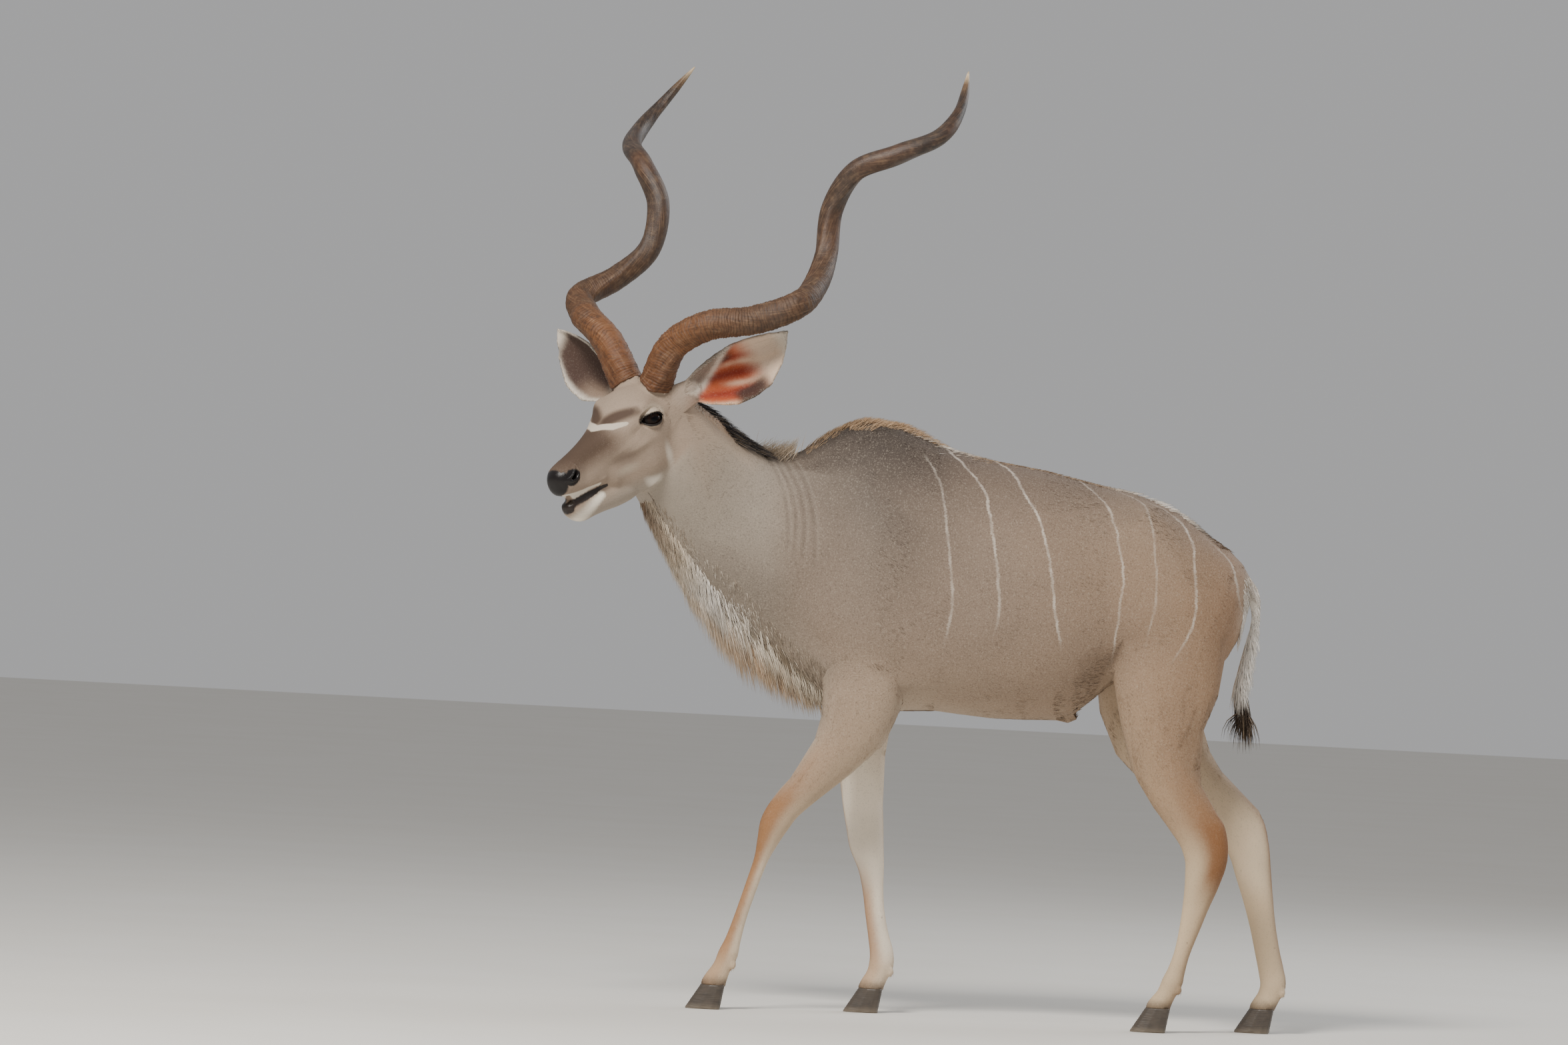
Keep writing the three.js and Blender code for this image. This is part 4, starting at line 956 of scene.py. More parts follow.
def coat_tone(co, label, normal, edges):
    """Broad colours of the coat at each point, by where it lies on the animal, with painted shade on the
    rump, in the sunken lines of the flesh and inside the ears, and painted light along the standing lines.
    """
    p = to_table(co)
    x, y, z = p.T
    tone = np.repeat(colour(144, 122, 103)[None], len(p), 0)
    region = label == "body"

    def lay(rgb, share):
        """Paint over the present region by the share."""
        nonlocal tone
        share = np.clip(region * share, 0, 1)[:, None]
        tone = tone * (1 - share) + colour(*rgb) * share

    high = relief(p)
    lay((134, 116, 101), ramp(300, 120, x) * 0.9)
    lay((148, 122, 99), ramp(330, 620, x))
    lay((168, 128, 94), ramp(600, 740, x) * ramp(1250, 1000, z) * 0.8)
    lay((186, 153, 121), ramp(900, 790, z) * 0.85)
    # painted shade: the rump is laid darker where the light leaves it in shade
    lay((108, 86, 70), ramp(540, 680, x) * ramp(1120, 1220, z) * 0.75)
    lay((104, 89, 78), ramp(1170, 1330, z) * 0.85)
    lay((96, 86, 79), ramp(40, -120, x) * ramp(-380, -270, x) * ramp(980, 1200, z) * 0.9)
    lay((48, 41, 37), ramp(80, -60, x) * ramp(-400, -310, x) * ramp(1220, 1390, z) * 0.9)
    lay((152, 141, 128), ramp(-330, -450, x))
    lay((94, 85, 76), ramp(-330, -430, x) * ramp(1160, 980, z) * 0.75)
    lay((174, 163, 149), ramp(-600, -680, x) * ramp(1240, 1330, z) * 0.6)
    lay((72, 56, 44), ramp(786, 752, z) * ramp(-80, 0, x) * (x < 420) * ramp(120, 60, np.abs(y)))
    # painted shade along the sunken lines of the flesh and painted light along the standing ones
    lay((66, 55, 47), np.clip(-high / 9, 0, 1) * 0.42)
    lay((200, 184, 164), np.clip(high / 9, 0, 1) * 0.16)
    for name in LEGS:
        region = label == name
        rows, centre, up, side, _ = leg_frames(LEGS[name], 160)
        i = nearest(p, centre)
        ahead = dots(p - centre[i], up[i])
        ahead = np.clip(ahead / np.where(ahead > 0, rows[i, 3], rows[i, 4]), -1, 1)
        inner = np.clip((y * (1 if name.endswith("left") else -1) + 112) / 36, -1, 1)
        if name.startswith("fore"):
            lay((162, 139, 116), ramp(760, 640, z))
            lay((160, 114, 74), ramp(600, 500, z) * ramp(-0.7, 0.4, ahead))
            lay((196, 172, 144), ramp(620, 470, z) * ramp(0.2, -0.6, ahead))
            lay((222, 203, 178), ramp(450, 330, z) * ramp(0.3, -0.5, ahead))
            lay((242, 229, 210), ramp(740, 600, z) * ramp(0.0, 0.6, inner))
            lay((176, 132, 94), ramp(400, 260, z) * ramp(-0.4, 0.5, ahead) * 0.8)
            lay((204, 176, 144), ramp(170, 100, z) * 0.6)
        else:
            lay((170, 141, 112), ramp(830, 620, z))
            lay((138, 94, 58), ramp(640, 480, z) * ramp(0.6, -0.4, ahead) * ramp(300, 400, z))
            lay((208, 184, 150), ramp(540, 380, z) * ramp(-0.3, 0.5, ahead))
            lay((220, 199, 170), ramp(860, 640, z) * ramp(0.1, 0.8, inner))
            lay((214, 189, 155), ramp(400, 300, z) * ramp(-0.95, -0.3, ahead) * 0.8)
        lay((92, 76, 62), ramp(84, 66, z) * 0.8)
    region = label == "tail"
    lay((246, 240, 230), 1)
    lay((196, 184, 168), ramp(1040, 1075, z) * 0.6)
    f, _, n = to_head(co).T
    region = label == "head"
    lay((158, 139, 122), 1)
    lay((84, 66, 53), ramp(60, 130, f) * ramp(-60, -16, n) * 0.95)
    lay((168, 158, 146), ramp(-120, -165, n) * 0.7)
    for side in ("left", "right"):
        region = label == "ear_" + side
        t, edge = ear_place(side, p)
        inner = ramp(0.0, 0.25, normal @ ear_frame(side)[2])
        lay((142, 129, 117), 1)
        if side == "left":
            cup = inner * ramp(-0.03, 0.03, t - 0.25 - 0.33 * edge)
            deep = cup * ramp(0.72, 0.5, t)
            lay((214, 190, 168), cup)
            lay((180, 84, 44), deep)
            for start_edge, slope in ((0.5, 1.64), (-0.14, 1.08), (-0.66, 0.5)):
                away = edge - start_edge + slope * (t - 0.4)
                lay((126, 28, 14), deep * bell(away, 0, 0.14) * 0.9)
                lay((224, 196, 168), cup * bell(away, -0.27, 0.07) * ramp(0.28, 0.45, t) * 0.8)
            # painted shade: near-black in the deep of the cup and under its curled rear edge
            lay((60, 40, 32), cup * ramp(0.25, 0.45, edge) * ramp(0.56, 0.46, t) * 0.8)
            lay((36, 28, 23), cup * ramp(-0.55, -0.7, edge) * ramp(0.34, 0.42, t) * ramp(0.72, 0.6, t) * 0.9)
            lay((214, 178, 146), cup * ramp(-0.8, -0.92, edge) * ramp(0.4, 0.34, t))
            lay((226, 216, 202), inner * bell(t, 0.22 + 0.33 * edge, 0.045) * 0.9)
        else:
            # painted shade: the far ear's inside is laid dark brown where it lies in shade, unlike the near
            # ear's red and pale inside
            lay((68, 48, 41), inner * ramp(0.16, 0.3, t))
            lay((150, 128, 110), inner * ramp(-0.3, -0.7, edge) * ramp(0.6, 0.3, t) * 0.8)
            lay((224, 214, 200), inner * np.maximum(ramp(-0.78, -0.92, edge), ramp(0.74, 0.9, edge)))
        lay((226, 214, 198), inner * ramp(0.82, 0.95, t))
    soft = np.where((z > 600) & (z < 900) & (label != "tail"), 0.5, 0.0)
    tone = eased(tone, edges, soft, 40)
    tone = eased(tone, edges, 0.5, 2)
    return np.hstack([np.clip(tone, 0, 1), np.ones((len(tone), 1))])


# Curved folds at the root of the neck: level z and place x, mm.
FOLDS = [
    ((1358, -444), (1311, -414), (1250, -391), (1169, -380), (1087, -384)),
    ((1356, -428), (1309, -396), (1248, -371), (1170, -361), (1088, -366)),
    ((1355, -408), (1310, -376), (1249, -350), (1171, -340), (1073, -346)),
    ((1355, -385), (1314, -355), (1250, -329), (1173, -315), (1058, -317)),
]

# Lines where the flesh sinks or stands, seen from the side: points x z, width, height, mm.
RELIEF = [
    (((-319, 1132), (-324, 1099), (-332, 1042), (-346, 1000)), 11, -7),
    (((-346, 1000), (-348, 910), (-323, 830), (-270, 755)), 24, -6),
    (((-195, 1342), (-119, 1281), (-70, 1186), (-81, 1088)), 34, -6),
    (((-81, 1088), (-88, 973), (-86, 876), (-65, 788)), 20, -11),
    (((-240, 1330), (-200, 1200), (-210, 1060), (-250, 960)), 40, 6),
    (((-150, 1180), (-160, 1060), (-190, 950)), 34, 5),
    (((-262, 765), (-225, 744), (-180, 753)), 12, -5),
    (((300, 765), (322, 773), (379, 819), (418, 879), (430, 960)), 15, -10),
    (((350, 770), (400, 800), (445, 860), (452, 930)), 14, 7),
    (((711, 983), (683, 900), (638, 826), (616, 750)), 16, -6),
    (((661, 899), (629, 816), (602, 717)), 15, -4),
    (((-3, 785), (63, 768), (162, 757), (259, 766), (323, 785)), 12, -4),
    (((439, 789), (473, 693), (520, 598)), 22, 5),
    (((602, 732), (640, 636), (680, 556)), 14, -5),
    (((560, 1240), (600, 1190), (610, 1120)), 34, -6),
    (((470, 1270), (520, 1230), (560, 1160)), 30, 7),
    (((40, 1250), (60, 1100), (50, 960)), 17, -2.5),
    (((110, 1250), (130, 1100), (120, 950)), 17, -2.5),
    (((180, 1240), (205, 1090), (195, 940)), 17, -2.5),
    (((75, 1250), (95, 1100), (85, 955)), 17, 2),
    (((145, 1250), (168, 1095), (158, 945)), 17, 2),
    (((-520, 1330), (-540, 1230), (-560, 1120)), 30, -5),
    (((-600, 1400), (-640, 1300), (-650, 1200)), 24, 5),
]

# Where the pale stripes of the flank run: level z and place x, mm.
STRIPES = [
    ((1366, -48), (1317, -18), (1256, -2), (1182, 10), (1108, 21), (1022, 30), (978, 27), (933, 18)),
    ((1387, 6), (1347, 52), (1298, 92), (1249, 107), (1181, 122), (1090, 137), (1015, 144), (974, 140)),
    ((1369, 120), (1346, 158), (1303, 185), (1255, 219), (1194, 244), (1121, 263), (1035, 276), (935, 298)),
    ((1330, 330), (1318, 348), (1280, 390), (1229, 415), (1165, 431), (1097, 442), (1043, 438), (909, 426)),
    ((1305, 442), (1288, 478), (1256, 498), (1210, 512), (1164, 514), (1101, 523), (1048, 523), (961, 508)),
    ((1290, 494), (1270, 543), (1242, 578), (1198, 604), (1140, 614), (1082, 620), (1007, 618), (915, 577)),
    ((1200, 651), (1156, 700), (1116, 716), (1071, 727), (1041, 736)),
]
STRIPE_STRENGTHS = (0.42, 0.56, 0.64, 0.54, 0.3, 0.58, 0.5)
STRIPE_HALVES = (3.2, 3.4, 3.4, 2.8, 3.0, 3.2, 3.0)  # half widths, mm


class Tree:
    """Places nodes in one tree and joins them."""

    def __init__(self, tree):
        self.tree = tree

    def put(self, kind, inputs=(), **settings):
        node = self.tree.nodes.new(kind)
        for key, value in settings.items():
            setattr(node, key, value)
        for key, value in dict(inputs).items():
            self.join(node.inputs[key], value)
        return node

    def first(self, kind, inputs=(), **settings):
        """The first output of a new node."""
        return self.put(kind, inputs, **settings).outputs[0]

    def join(self, socket, value):
        if isinstance(value, bpy.types.NodeSocket):
            self.tree.links.new(value, socket)
        elif value is not None:
            socket.default_value = value

    def sum(self, operation, a, b=None, clamp=False):
        return self.first("ShaderNodeMath", {0: a, 1: b}, operation=operation, use_clamp=clamp)

    def plus(self, a, b, clamp=False):
        return self.sum("ADD", a, b, clamp)

    def minus(self, a, b):
        return self.sum("SUBTRACT", a, b)

    def times(self, a, b):
        return self.sum("MULTIPLY", a, b)

    def over(self, a, b):
        return self.sum("DIVIDE", a, b)

    def most(self, *values):
        top = values[0]
        for value in values[1:]:
            top = self.sum("MAXIMUM", top, value)
        return top

    def size(self, a):
        return self.sum("ABSOLUTE", a)

    def scaled(self, a, share):
        return self.vector("SCALE", a, scale=share)

    def add(self, a, b):
        return self.vector("ADD", a, b)

    def less(self, a, b):
        return self.vector("SUBTRACT", a, b)

    def unit(self, a):
        return self.vector("NORMALIZE", a)

    def place(self):
        return self.put("ShaderNodeTexCoord").outputs["Object"]

    def vector(self, operation, a, b=None, scale=None):
        node = self.put("ShaderNodeVectorMath", {0: a, 1: b}, operation=operation)
        if scale is not None:
            self.join(node.inputs["Scale"], scale)
        value = operation in ("DOT_PRODUCT", "LENGTH", "DISTANCE")
        return node.outputs["Value" if value else "Vector"]

    def blend(self, share, a, b, kind="RGBA", mode="MIX"):
        first, out = {"FLOAT": (2, 0), "VECTOR": (4, 1), "RGBA": (6, 2)}[kind]
        node = self.put("ShaderNodeMix", {0: share, first: a, first + 1: b}, data_type=kind)
        if kind == "RGBA":
            node.blend_type = mode
        return node.outputs[out]

    def step(self, value, low, high, start=0.0, end=1.0):
        inputs = {"Value": value, "From Min": low, "From Max": high, "To Min": start, "To Max": end}
        return self.first("ShaderNodeMapRange", inputs, interpolation_type="SMOOTHSTEP")

    def noise(self, at, scale, detail=2.0, rough=0.5):
        inputs = {"Vector": at, "Scale": scale, "Detail": detail, "Roughness": rough}
        return self.first("ShaderNodeTexNoise", inputs)

    def parts(self, at):
        return self.put("ShaderNodeSeparateXYZ", {0: at}).outputs

    def point(self, x, y, z):
        return self.first("ShaderNodeCombineXYZ", {0: x, 1: y, 2: z})


def paint(*rgb):
    """A socket colour from display values out of 255."""
    return (*colour(*rgb), 1.0)


def new_group(name, kind, inputs, outputs):
    """A node group with its tree helper, its input sockets and a function that sets an output."""
    group = bpy.data.node_groups.new(name, kind)
    for way, rows in (("INPUT", inputs), ("OUTPUT", outputs)):
        for title, socket, *value in rows:
            made = group.interface.new_socket(title, in_out=way, socket_type="NodeSocket" + socket)
            if value:
                made.default_value = value[0]
    t = Tree(group)
    source = group.nodes.new("NodeGroupInput").outputs
    sink = group.nodes.new("NodeGroupOutput")
    return group, t, source, lambda title, value: t.join(sink.inputs[title], value)


def kudu_markings():
    """The coat's colour at a place, from its broad tone: stripes, painted shade and highlights along the
    neck folds, face marks, wet nose and mottling.
    """
    group, t, source, out = new_group(
        "Kudu markings", "ShaderNodeTree", [("Tone", "Color")], [("Colour", "Color"), ("Wet", "Float")])
    place = t.place()
    p = t.scaled(t.less(place, tuple(SHIFT)), 1000.0)
    x, y, z = t.parts(p)

    broad = t.noise(place, 5.0, 3.0)
    fine = t.noise(place, 260.0, 2.0, 0.7)
    tone = source["Tone"]

    def lay(share, rgb, strength=1.0):
        nonlocal tone
        if strength != 1.0:
            share = t.times(share, strength)
        tone = t.blend(share, tone, paint(*rgb))

    lay(t.step(broad, 0.35, 0.7, 0.0, 0.14), (100, 86, 74))
    calm = t.step(t.plus(x, t.times(z, -0.7)), -1400.0, -1560.0, 1.0, 0.4)
    calm = t.times(calm, t.step(z, 420.0, 760.0, 0.35, 1.0))
    lay(t.times(t.step(fine, 0.5, 0.75, 0.0, 0.26), calm), (196, 184, 168))
    lay(t.times(t.step(fine, 0.47, 0.28, 0.0, 0.4), calm), (62, 52, 44))

    # Flank stripes, the far side's a little further back, and the folds of the neck, with painted shade in
    # each fold's crease and a painted highlight on its ridge.
    low, tall, start, wide = 860.0, 560.0, -500.0, 1300.0
    level = t.over(t.minus(z, low), tall)
    back = t.step(y, -1.0, 1.0, 0.0, 14.0)
    wave = t.times(t.minus(t.noise(place, 24.0), 0.5), 10.0)
    feather = t.times(t.minus(t.noise(t.vector("MULTIPLY", place, (90, 90, 330)), 1.0, 2.0), 0.5), 9.0)
    here = t.plus(t.minus(x, back), t.plus(wave, feather))
    broken = t.step(t.noise(place, 38.0, 3.0), 0.36, 0.62)

    def line_gap(rows, across):
        curve = t.put("ShaderNodeFloatCurve", {"Value": level})
        line = curve.mapping.curves[0]
        spots = sorted(((a - low) / tall, (b - start) / wide) for a, b in rows)
        line.points[0].location = spots[0]
        line.points[1].location = spots[-1]
        for spot in spots[1:-1]:
            line.points.new(*spot)
        curve.mapping.update()
        return t.minus(across, t.plus(t.times(curve.outputs[0], wide), start))

    white = None
    for rows, strong, half in zip(STRIPES, STRIPE_STRENGTHS, STRIPE_HALVES):
        mark = t.step(t.size(line_gap(rows, here)), half + 1.8, half - 2.4)
        bottom, top = rows[-1][0], rows[0][0]
        mark = t.times(mark, t.step(z, bottom - 30, bottom + 50))
        mark = t.times(mark, t.step(z, top + 22, top - 12))
        if rows[0][1] > 480:
            mark = t.times(mark, t.step(t.size(y), 58.0, 96.0))
        mark = t.times(mark, strong)
        white = mark if white is None else t.most(white, mark)
    lay(t.times(white, t.plus(t.times(broken, 0.55), 0.45)), (214, 203, 190))
    for rows in FOLDS:
        gap = line_gap(rows, t.plus(x, t.times(wave, 0.3)))
        fade = t.times(t.step(z, rows[-1][0], rows[-1][0] + 90), t.step(z, 1375, 1350))
        # painted shade along the crease of the fold
        dark = t.times(t.step(t.size(gap), 8.0, 0.0), fade)
        lay(t.times(dark, t.times(t.plus(broken, 0.8), 0.17)), (70, 58, 50))
        # painted highlight along the ridge beside the fold
        light = t.times(t.step(t.size(t.minus(gap, 10.0)), 6.0, 0.5), fade)
        lay(t.times(light, 0.05), (206, 196, 182))

    # Head axes, mm, the left and right halves folded together.
    q = t.less(p, tuple(HEAD_AT))
    f, l, n = (t.vector("DOT_PRODUCT", q, tuple(axis)) for axis in HEAD_AXES)
    l = t.size(l)
    jitter = t.times(t.minus(t.noise(place, 150.0, 3.0), 0.5), 5.0)
    h = t.point(t.plus(f, jitter), l, t.plus(n, jitter))

    def spot(at, reach, edge=0.25):
        far = t.vector("LENGTH", t.vector("DIVIDE", t.less(h, at), reach))
        return t.step(far, 1.0, 1.0 - edge)

    def band(a, b, thick_a, thick_b, soft=0.4):
        a, b = np.array(a, float), np.array(b, float)
        run = b - a
        off = t.less(h, tuple(a))
        share = t.plus(t.vector("DOT_PRODUCT", off, tuple(run / (run @ run))), 0.0, clamp=True)
        far = t.vector("LENGTH", t.less(off, t.scaled(tuple(run), share)))
        width = t.plus(t.times(share, thick_b - thick_a), thick_a)
        return t.step(t.over(far, width), 1.1, 1.1 - soft)

    lay(spot((180, 0, 2), (126, 60, 44), 0.6), (74, 57, 45), 0.85)
    lay(band((22, 64, 26), (84, 18, 32), 17.0, 29.0, 0.8), (70, 52, 40), 0.95)
    lay(spot((-10, 84, 4), (50, 30, 34), 0.5), (204, 190, 170), 0.55)
    blaze = t.most(band((22, 66, 3), (62, 57, 11), 2.2, 5.5), band((62, 57, 11), (88, 38, 15), 5.5, 10.0),
                   band((88, 38, 15), (110, 0, 18), 10.0, 13.0))
    lay(blaze, (208, 195, 178), 0.92)
    lay(spot((96, 60, -70), (60, 30, 30), 0.7), (118, 101, 88), 0.5)
    lay(band((54, 46, -126), (12, 52, -160), 9.0, 28.0, 0.9), (232, 222, 208), 0.95)
    lay(spot((-30, 84, -108), (16, 26, 50), 1.0), (222, 212, 198), 0.6)
    lay(band((284, 15, -88), (174, 29, -102), 13.0, 8.0), (230, 220, 205), 0.95)
    lay(spot((92, 60, -98), (50, 40, 20), 1.0), (196, 182, 164), 0.5)
    lay(band((254, 12, -152), (172, 27, -128), 29.0, 13.0, 0.9), (234, 224, 208))
    lip = t.most(band((276, 10, -113), (150, 26, -112), 14.0, 5.5),
                 band((284, 0, -120), (276, 12, -118), 16.0, 14.0))
    lay(lip, (40, 32, 29))
    nose = t.most(spot((291, 0, -46), (33, 39, 36), 0.14), spot((260, 32, -42), (28, 27, 22), 0.18),
                  spot((298, 0, -72), (20, 17, 24), 0.3), spot((276, 18, -34), (18, 18, 15), 0.2))
    lay(nose, (24, 20, 20))
    lay(band((8, 68, -6), (48, 61, 2.5), 4.5, 1.5), (40, 32, 28), 0.9)
    at, axes = eye_axes(1)
    q = t.less(h, tuple(at))
    rear, up, outward = (t.vector("DOT_PRODUCT", q, tuple(axis)) for axis in axes)
    rim = t.vector("LENGTH", t.point(t.over(rear, EYE_LONG * 1.08), t.over(up, EYE_UPPER * 1.1), 0.0))
    rim = t.times(t.step(rim, 1.16, 0.98), t.step(outward, 4.0, 12.0))
    lay(rim, (30, 24, 22))
    out("Colour", tone)
    out("Wet", t.most(nose, lip, t.times(rim, 0.7)))
    return group


def new_material(name):
    """A material with its Principled shader and tree helper."""
    made = bpy.data.materials.new(name)
    made.use_nodes = True
    t = Tree(made.node_tree)
    return made, t, made.node_tree.nodes["Principled BSDF"]


def attribute(t, name, output="Fac"):
    return t.put("ShaderNodeAttribute", attribute_name=name).outputs[output]


def marked(t, markings):
    """The shared markings' outputs over the mesh's own tone."""
    marks = t.put("ShaderNodeGroup", node_tree=markings)
    t.join(marks.inputs["Tone"], attribute(t, "tone", "Color"))
    return marks.outputs


def layered(t, tone, rows):
    """The tone under a row of paints, each by a smooth step of its value."""
    for value, low, high, share, rgb in rows:
        tone = t.blend(t.step(value, low, high, 0.0, share), tone, paint(*rgb))
    return tone


def finish_shader(t, shader, tone, rough, height, strength=0.5, distance=0.0015, gloss=0.5):
    bump = t.put("ShaderNodeBump", {"Strength": strength, "Distance": distance, "Height": height})
    inputs = {"Base Color": tone, "Roughness": rough, "Normal": bump.outputs[0], "Specular IOR Level": gloss}
    for key, value in inputs.items():
        t.join(shader.inputs[key], value)


def skin_material(markings):
    made, t, shader = new_material("Kudu skin")
    marks = marked(t, markings)
    way = t.first("ShaderNodeUVMap", uv_map="Unwrap")
    hair = t.noise(t.vector("MULTIPLY", way, (ATLAS_SIDE * 70, ATLAS_SIDE * 520, 1.0)), 1.0, 3.0, 0.6)
    grain = t.noise(t.place(), 900.0, 2.0, 0.6)
    dry = t.step(marks["Wet"], 0.1, 0.6, 1.0, 0.0)
    rough = t.step(marks["Wet"], 0.2, 0.9, 0.72, 0.24)
    height = t.plus(t.times(hair, dry), t.times(grain, 0.35))
    finish_shader(t, shader, marks["Colour"], rough, height, distance=0.002, gloss=0.35)
    return made


def coat_material(name, rough, dark=0.06, pale=0.1, root=0.0, light=(214, 202, 186)):
    """Hair: the shared markings, each tuft a little lighter or darker and darker at its root."""
    made, t, shader = new_material(name)
    marks = marked(t, bpy.data.node_groups["Kudu markings"])
    shade = attribute(t, "shade")
    tone = layered(t, marks["Colour"], (
        (shade, 0.45, 0.0, dark, (58, 46, 38)), (shade, 0.6, 1.0, pale, light),
        (attribute(t, "rise"), 0.5, 0.0, root, (60, 48, 40))))
    rough = t.step(shade, 0.0, 1.0, rough + 0.08, rough - 0.08)
    finish_shader(t, shader, tone, rough, t.noise(t.place(), 900.0, 2.0, 0.6), 0.3, 0.001, 0.25)
    return made


def tuft_tree():
    """Geometry Nodes: flat tapered tufts rooted over a skin by its cover, lie and long attributes."""
    group, t, source, out = new_group("Hair tufts", "GeometryNodeTree", [
        ("Skin", "Geometry"), ("Density", "Float", 10000.0), ("Width", "Float", 0.003),
        ("Thickness", "Float", 0.0009), ("Sink", "Float", 0.001), ("Lift", "Float", 0.15),
        ("Fall", "Float", 0.0), ("Fall Way", "Vector", (0, 0, -1)), ("Spread", "Float", 0.2),
        ("Swirl", "Float", 0.5),
        ("Swirl Scale", "Float", 30.0), ("Variation", "Float", 0.4), ("Twist", "Float", 0.0),
        ("Blunt", "Float", 2.0), ("Sides", "Int", 3), ("Segments", "Int", 4),
        ("Seed", "Int", 1), ("Smooth", "Bool", True), ("Material", "Material"),
    ], [("Hair", "Geometry")])
    for item in group.interface.items_tree:
        if item.name in ("Width", "Thickness", "Sink") and item.in_out == "INPUT":
            item.subtype = "DISTANCE"

    def named(name, kind="FLOAT"):
        return t.put("GeometryNodeInputNamedAttribute", {"Name": name}, data_type=kind).outputs["Attribute"]

    def way(name):
        return named(name, "FLOAT_VECTOR")

    def keep(geometry, name, value, kind="FLOAT", domain="POINT"):
        inputs = {"Geometry": geometry, "Name": name, "Value": value}
        return t.first("GeometryNodeStoreNamedAttribute", inputs, data_type=kind, domain=domain)

    def chance(low, high, extra, kind="FLOAT"):
        seed = t.plus(source["Seed"], float(extra))
        node = t.put("FunctionNodeRandomValue", {"Seed": seed}, data_type=kind)
        first = {"FLOAT": 2, "FLOAT_VECTOR": 0}[kind]
        node.inputs[first].default_value = low
        node.inputs[first + 1].default_value = high
        return node.outputs[{"FLOAT": 1, "FLOAT_VECTOR": 0}[kind]]

    density = t.times(source["Density"], named("cover"))
    scatter = t.put("GeometryNodeDistributePointsOnFaces", {
        "Mesh": source["Skin"], "Density": density, "Seed": source["Seed"]})
    roots = keep(scatter.outputs["Points"], "out", scatter.outputs["Normal"], "FLOAT_VECTOR")
    here = t.first("GeometryNodeInputPosition")
    roots = keep(roots, "root", here, "FLOAT_VECTOR")
    roots = keep(roots, "patch", way("Unwrap"), "FLOAT_VECTOR")
    roots = keep(roots, "shade", chance(0.0, 1.0, 3))
    length = t.times(named("long"), t.minus(1.0, t.times(source["Variation"], chance(0.0, 1.0, 5))))
    roots = keep(roots, "reach", length)
    roots = keep(roots, "stray", chance((-1, -1, -1), (1, 1, 1), 7, "FLOAT_VECTOR"), "FLOAT_VECTOR")
    roots = keep(roots, "spin", t.times(source["Twist"], chance(-3.14, 3.14, 11)))

    cone = t.put("GeometryNodeMeshCone", {
        "Vertices": source["Sides"], "Side Segments": source["Segments"], "Radius Top": 0.0,
        "Radius Bottom": 1.0, "Depth": 1.0}, fill_type="NGON")
    lock = keep(cone.outputs["Mesh"], "at", here, "FLOAT_VECTOR")
    placed = t.first("GeometryNodeInstanceOnPoints", {"Points": roots, "Instance": lock})
    hair = t.first("GeometryNodeRealizeInstances", {0: placed})

    at = t.parts(way("at"))
    rise = t.sum("MINIMUM", t.most(at[2], 0.0), 1.0)
    left = t.most(t.minus(1.0, rise), 0.001)
    full = t.over(t.minus(1.0, t.sum("POWER", rise, source["Blunt"])), left)
    root, normal = way("root"), way("out")
    noise = t.put("ShaderNodeTexNoise", {"Vector": root, "Scale": source["Swirl Scale"], "Detail": 2.0})
    swirl = t.less(noise.outputs["Color"], (0.5, 0.5, 0.5))
    first = t.add(way("lie"), t.scaled(swirl, source["Swirl"]))
    first = t.add(first, t.scaled(way("stray"), source["Spread"]))
    outward = t.vector("DOT_PRODUCT", first, normal)
    first = t.less(first, t.scaled(normal, outward))
    first = t.unit(first)
    first = t.unit(t.add(first, t.scaled(normal, source["Lift"])))
    last = t.unit(t.blend(source["Fall"], first, source["Fall Way"], "VECTOR"))
    bend = t.less(last, first)
    path = t.add(t.scaled(first, rise), t.scaled(bend, t.times(t.times(rise, rise), 0.5)))
    path = t.scaled(path, named("reach"))
    across = t.unit(t.vector("CROSS_PRODUCT", normal, first))
    facing = t.vector("CROSS_PRODUCT", t.unit(t.blend(rise, first, last, "VECTOR")), across)
    spin = named("spin")
    c, s = t.sum("COSINE", spin), t.sum("SINE", spin)
    wide = t.add(t.scaled(across, c), t.scaled(facing, s))
    thick = t.less(t.scaled(facing, c), t.scaled(across, s))
    half = t.times(t.times(source["Width"], 0.5), full)
    body = t.times(t.times(source["Thickness"], 0.5), full)
    down = t.times(at[0], -1.0)
    offset = t.add(t.scaled(wide, t.times(at[1], half)), t.scaled(thick, t.times(down, body)))
    sunk = t.scaled(normal, t.times(source["Sink"], -1.0))
    place = t.add(t.add(root, sunk), t.add(path, offset))
    hair = t.first("GeometryNodeSetPosition", {"Geometry": hair, "Position": place})
    hair = keep(hair, "rise", rise)
    patch = t.add(way("patch"), t.scaled(t.point(at[0], t.minus(t.times(rise, 2.0), 1.0), 0.0), 0.0015))
    hair = keep(hair, "OFBake", patch, "FLOAT2", "CORNER")
    hair = t.first("GeometryNodeSetShadeSmooth", {"Geometry": hair, "Shade Smooth": source["Smooth"]})
    hair = t.first("GeometryNodeSetMaterial", {"Geometry": hair, "Material": source["Material"]})
    out("Hair", hair)
    return group


SPARE = ("at", "root", "out", "patch", "reach", "stray", "spin", "lie", "long", "cover", "Unwrap")


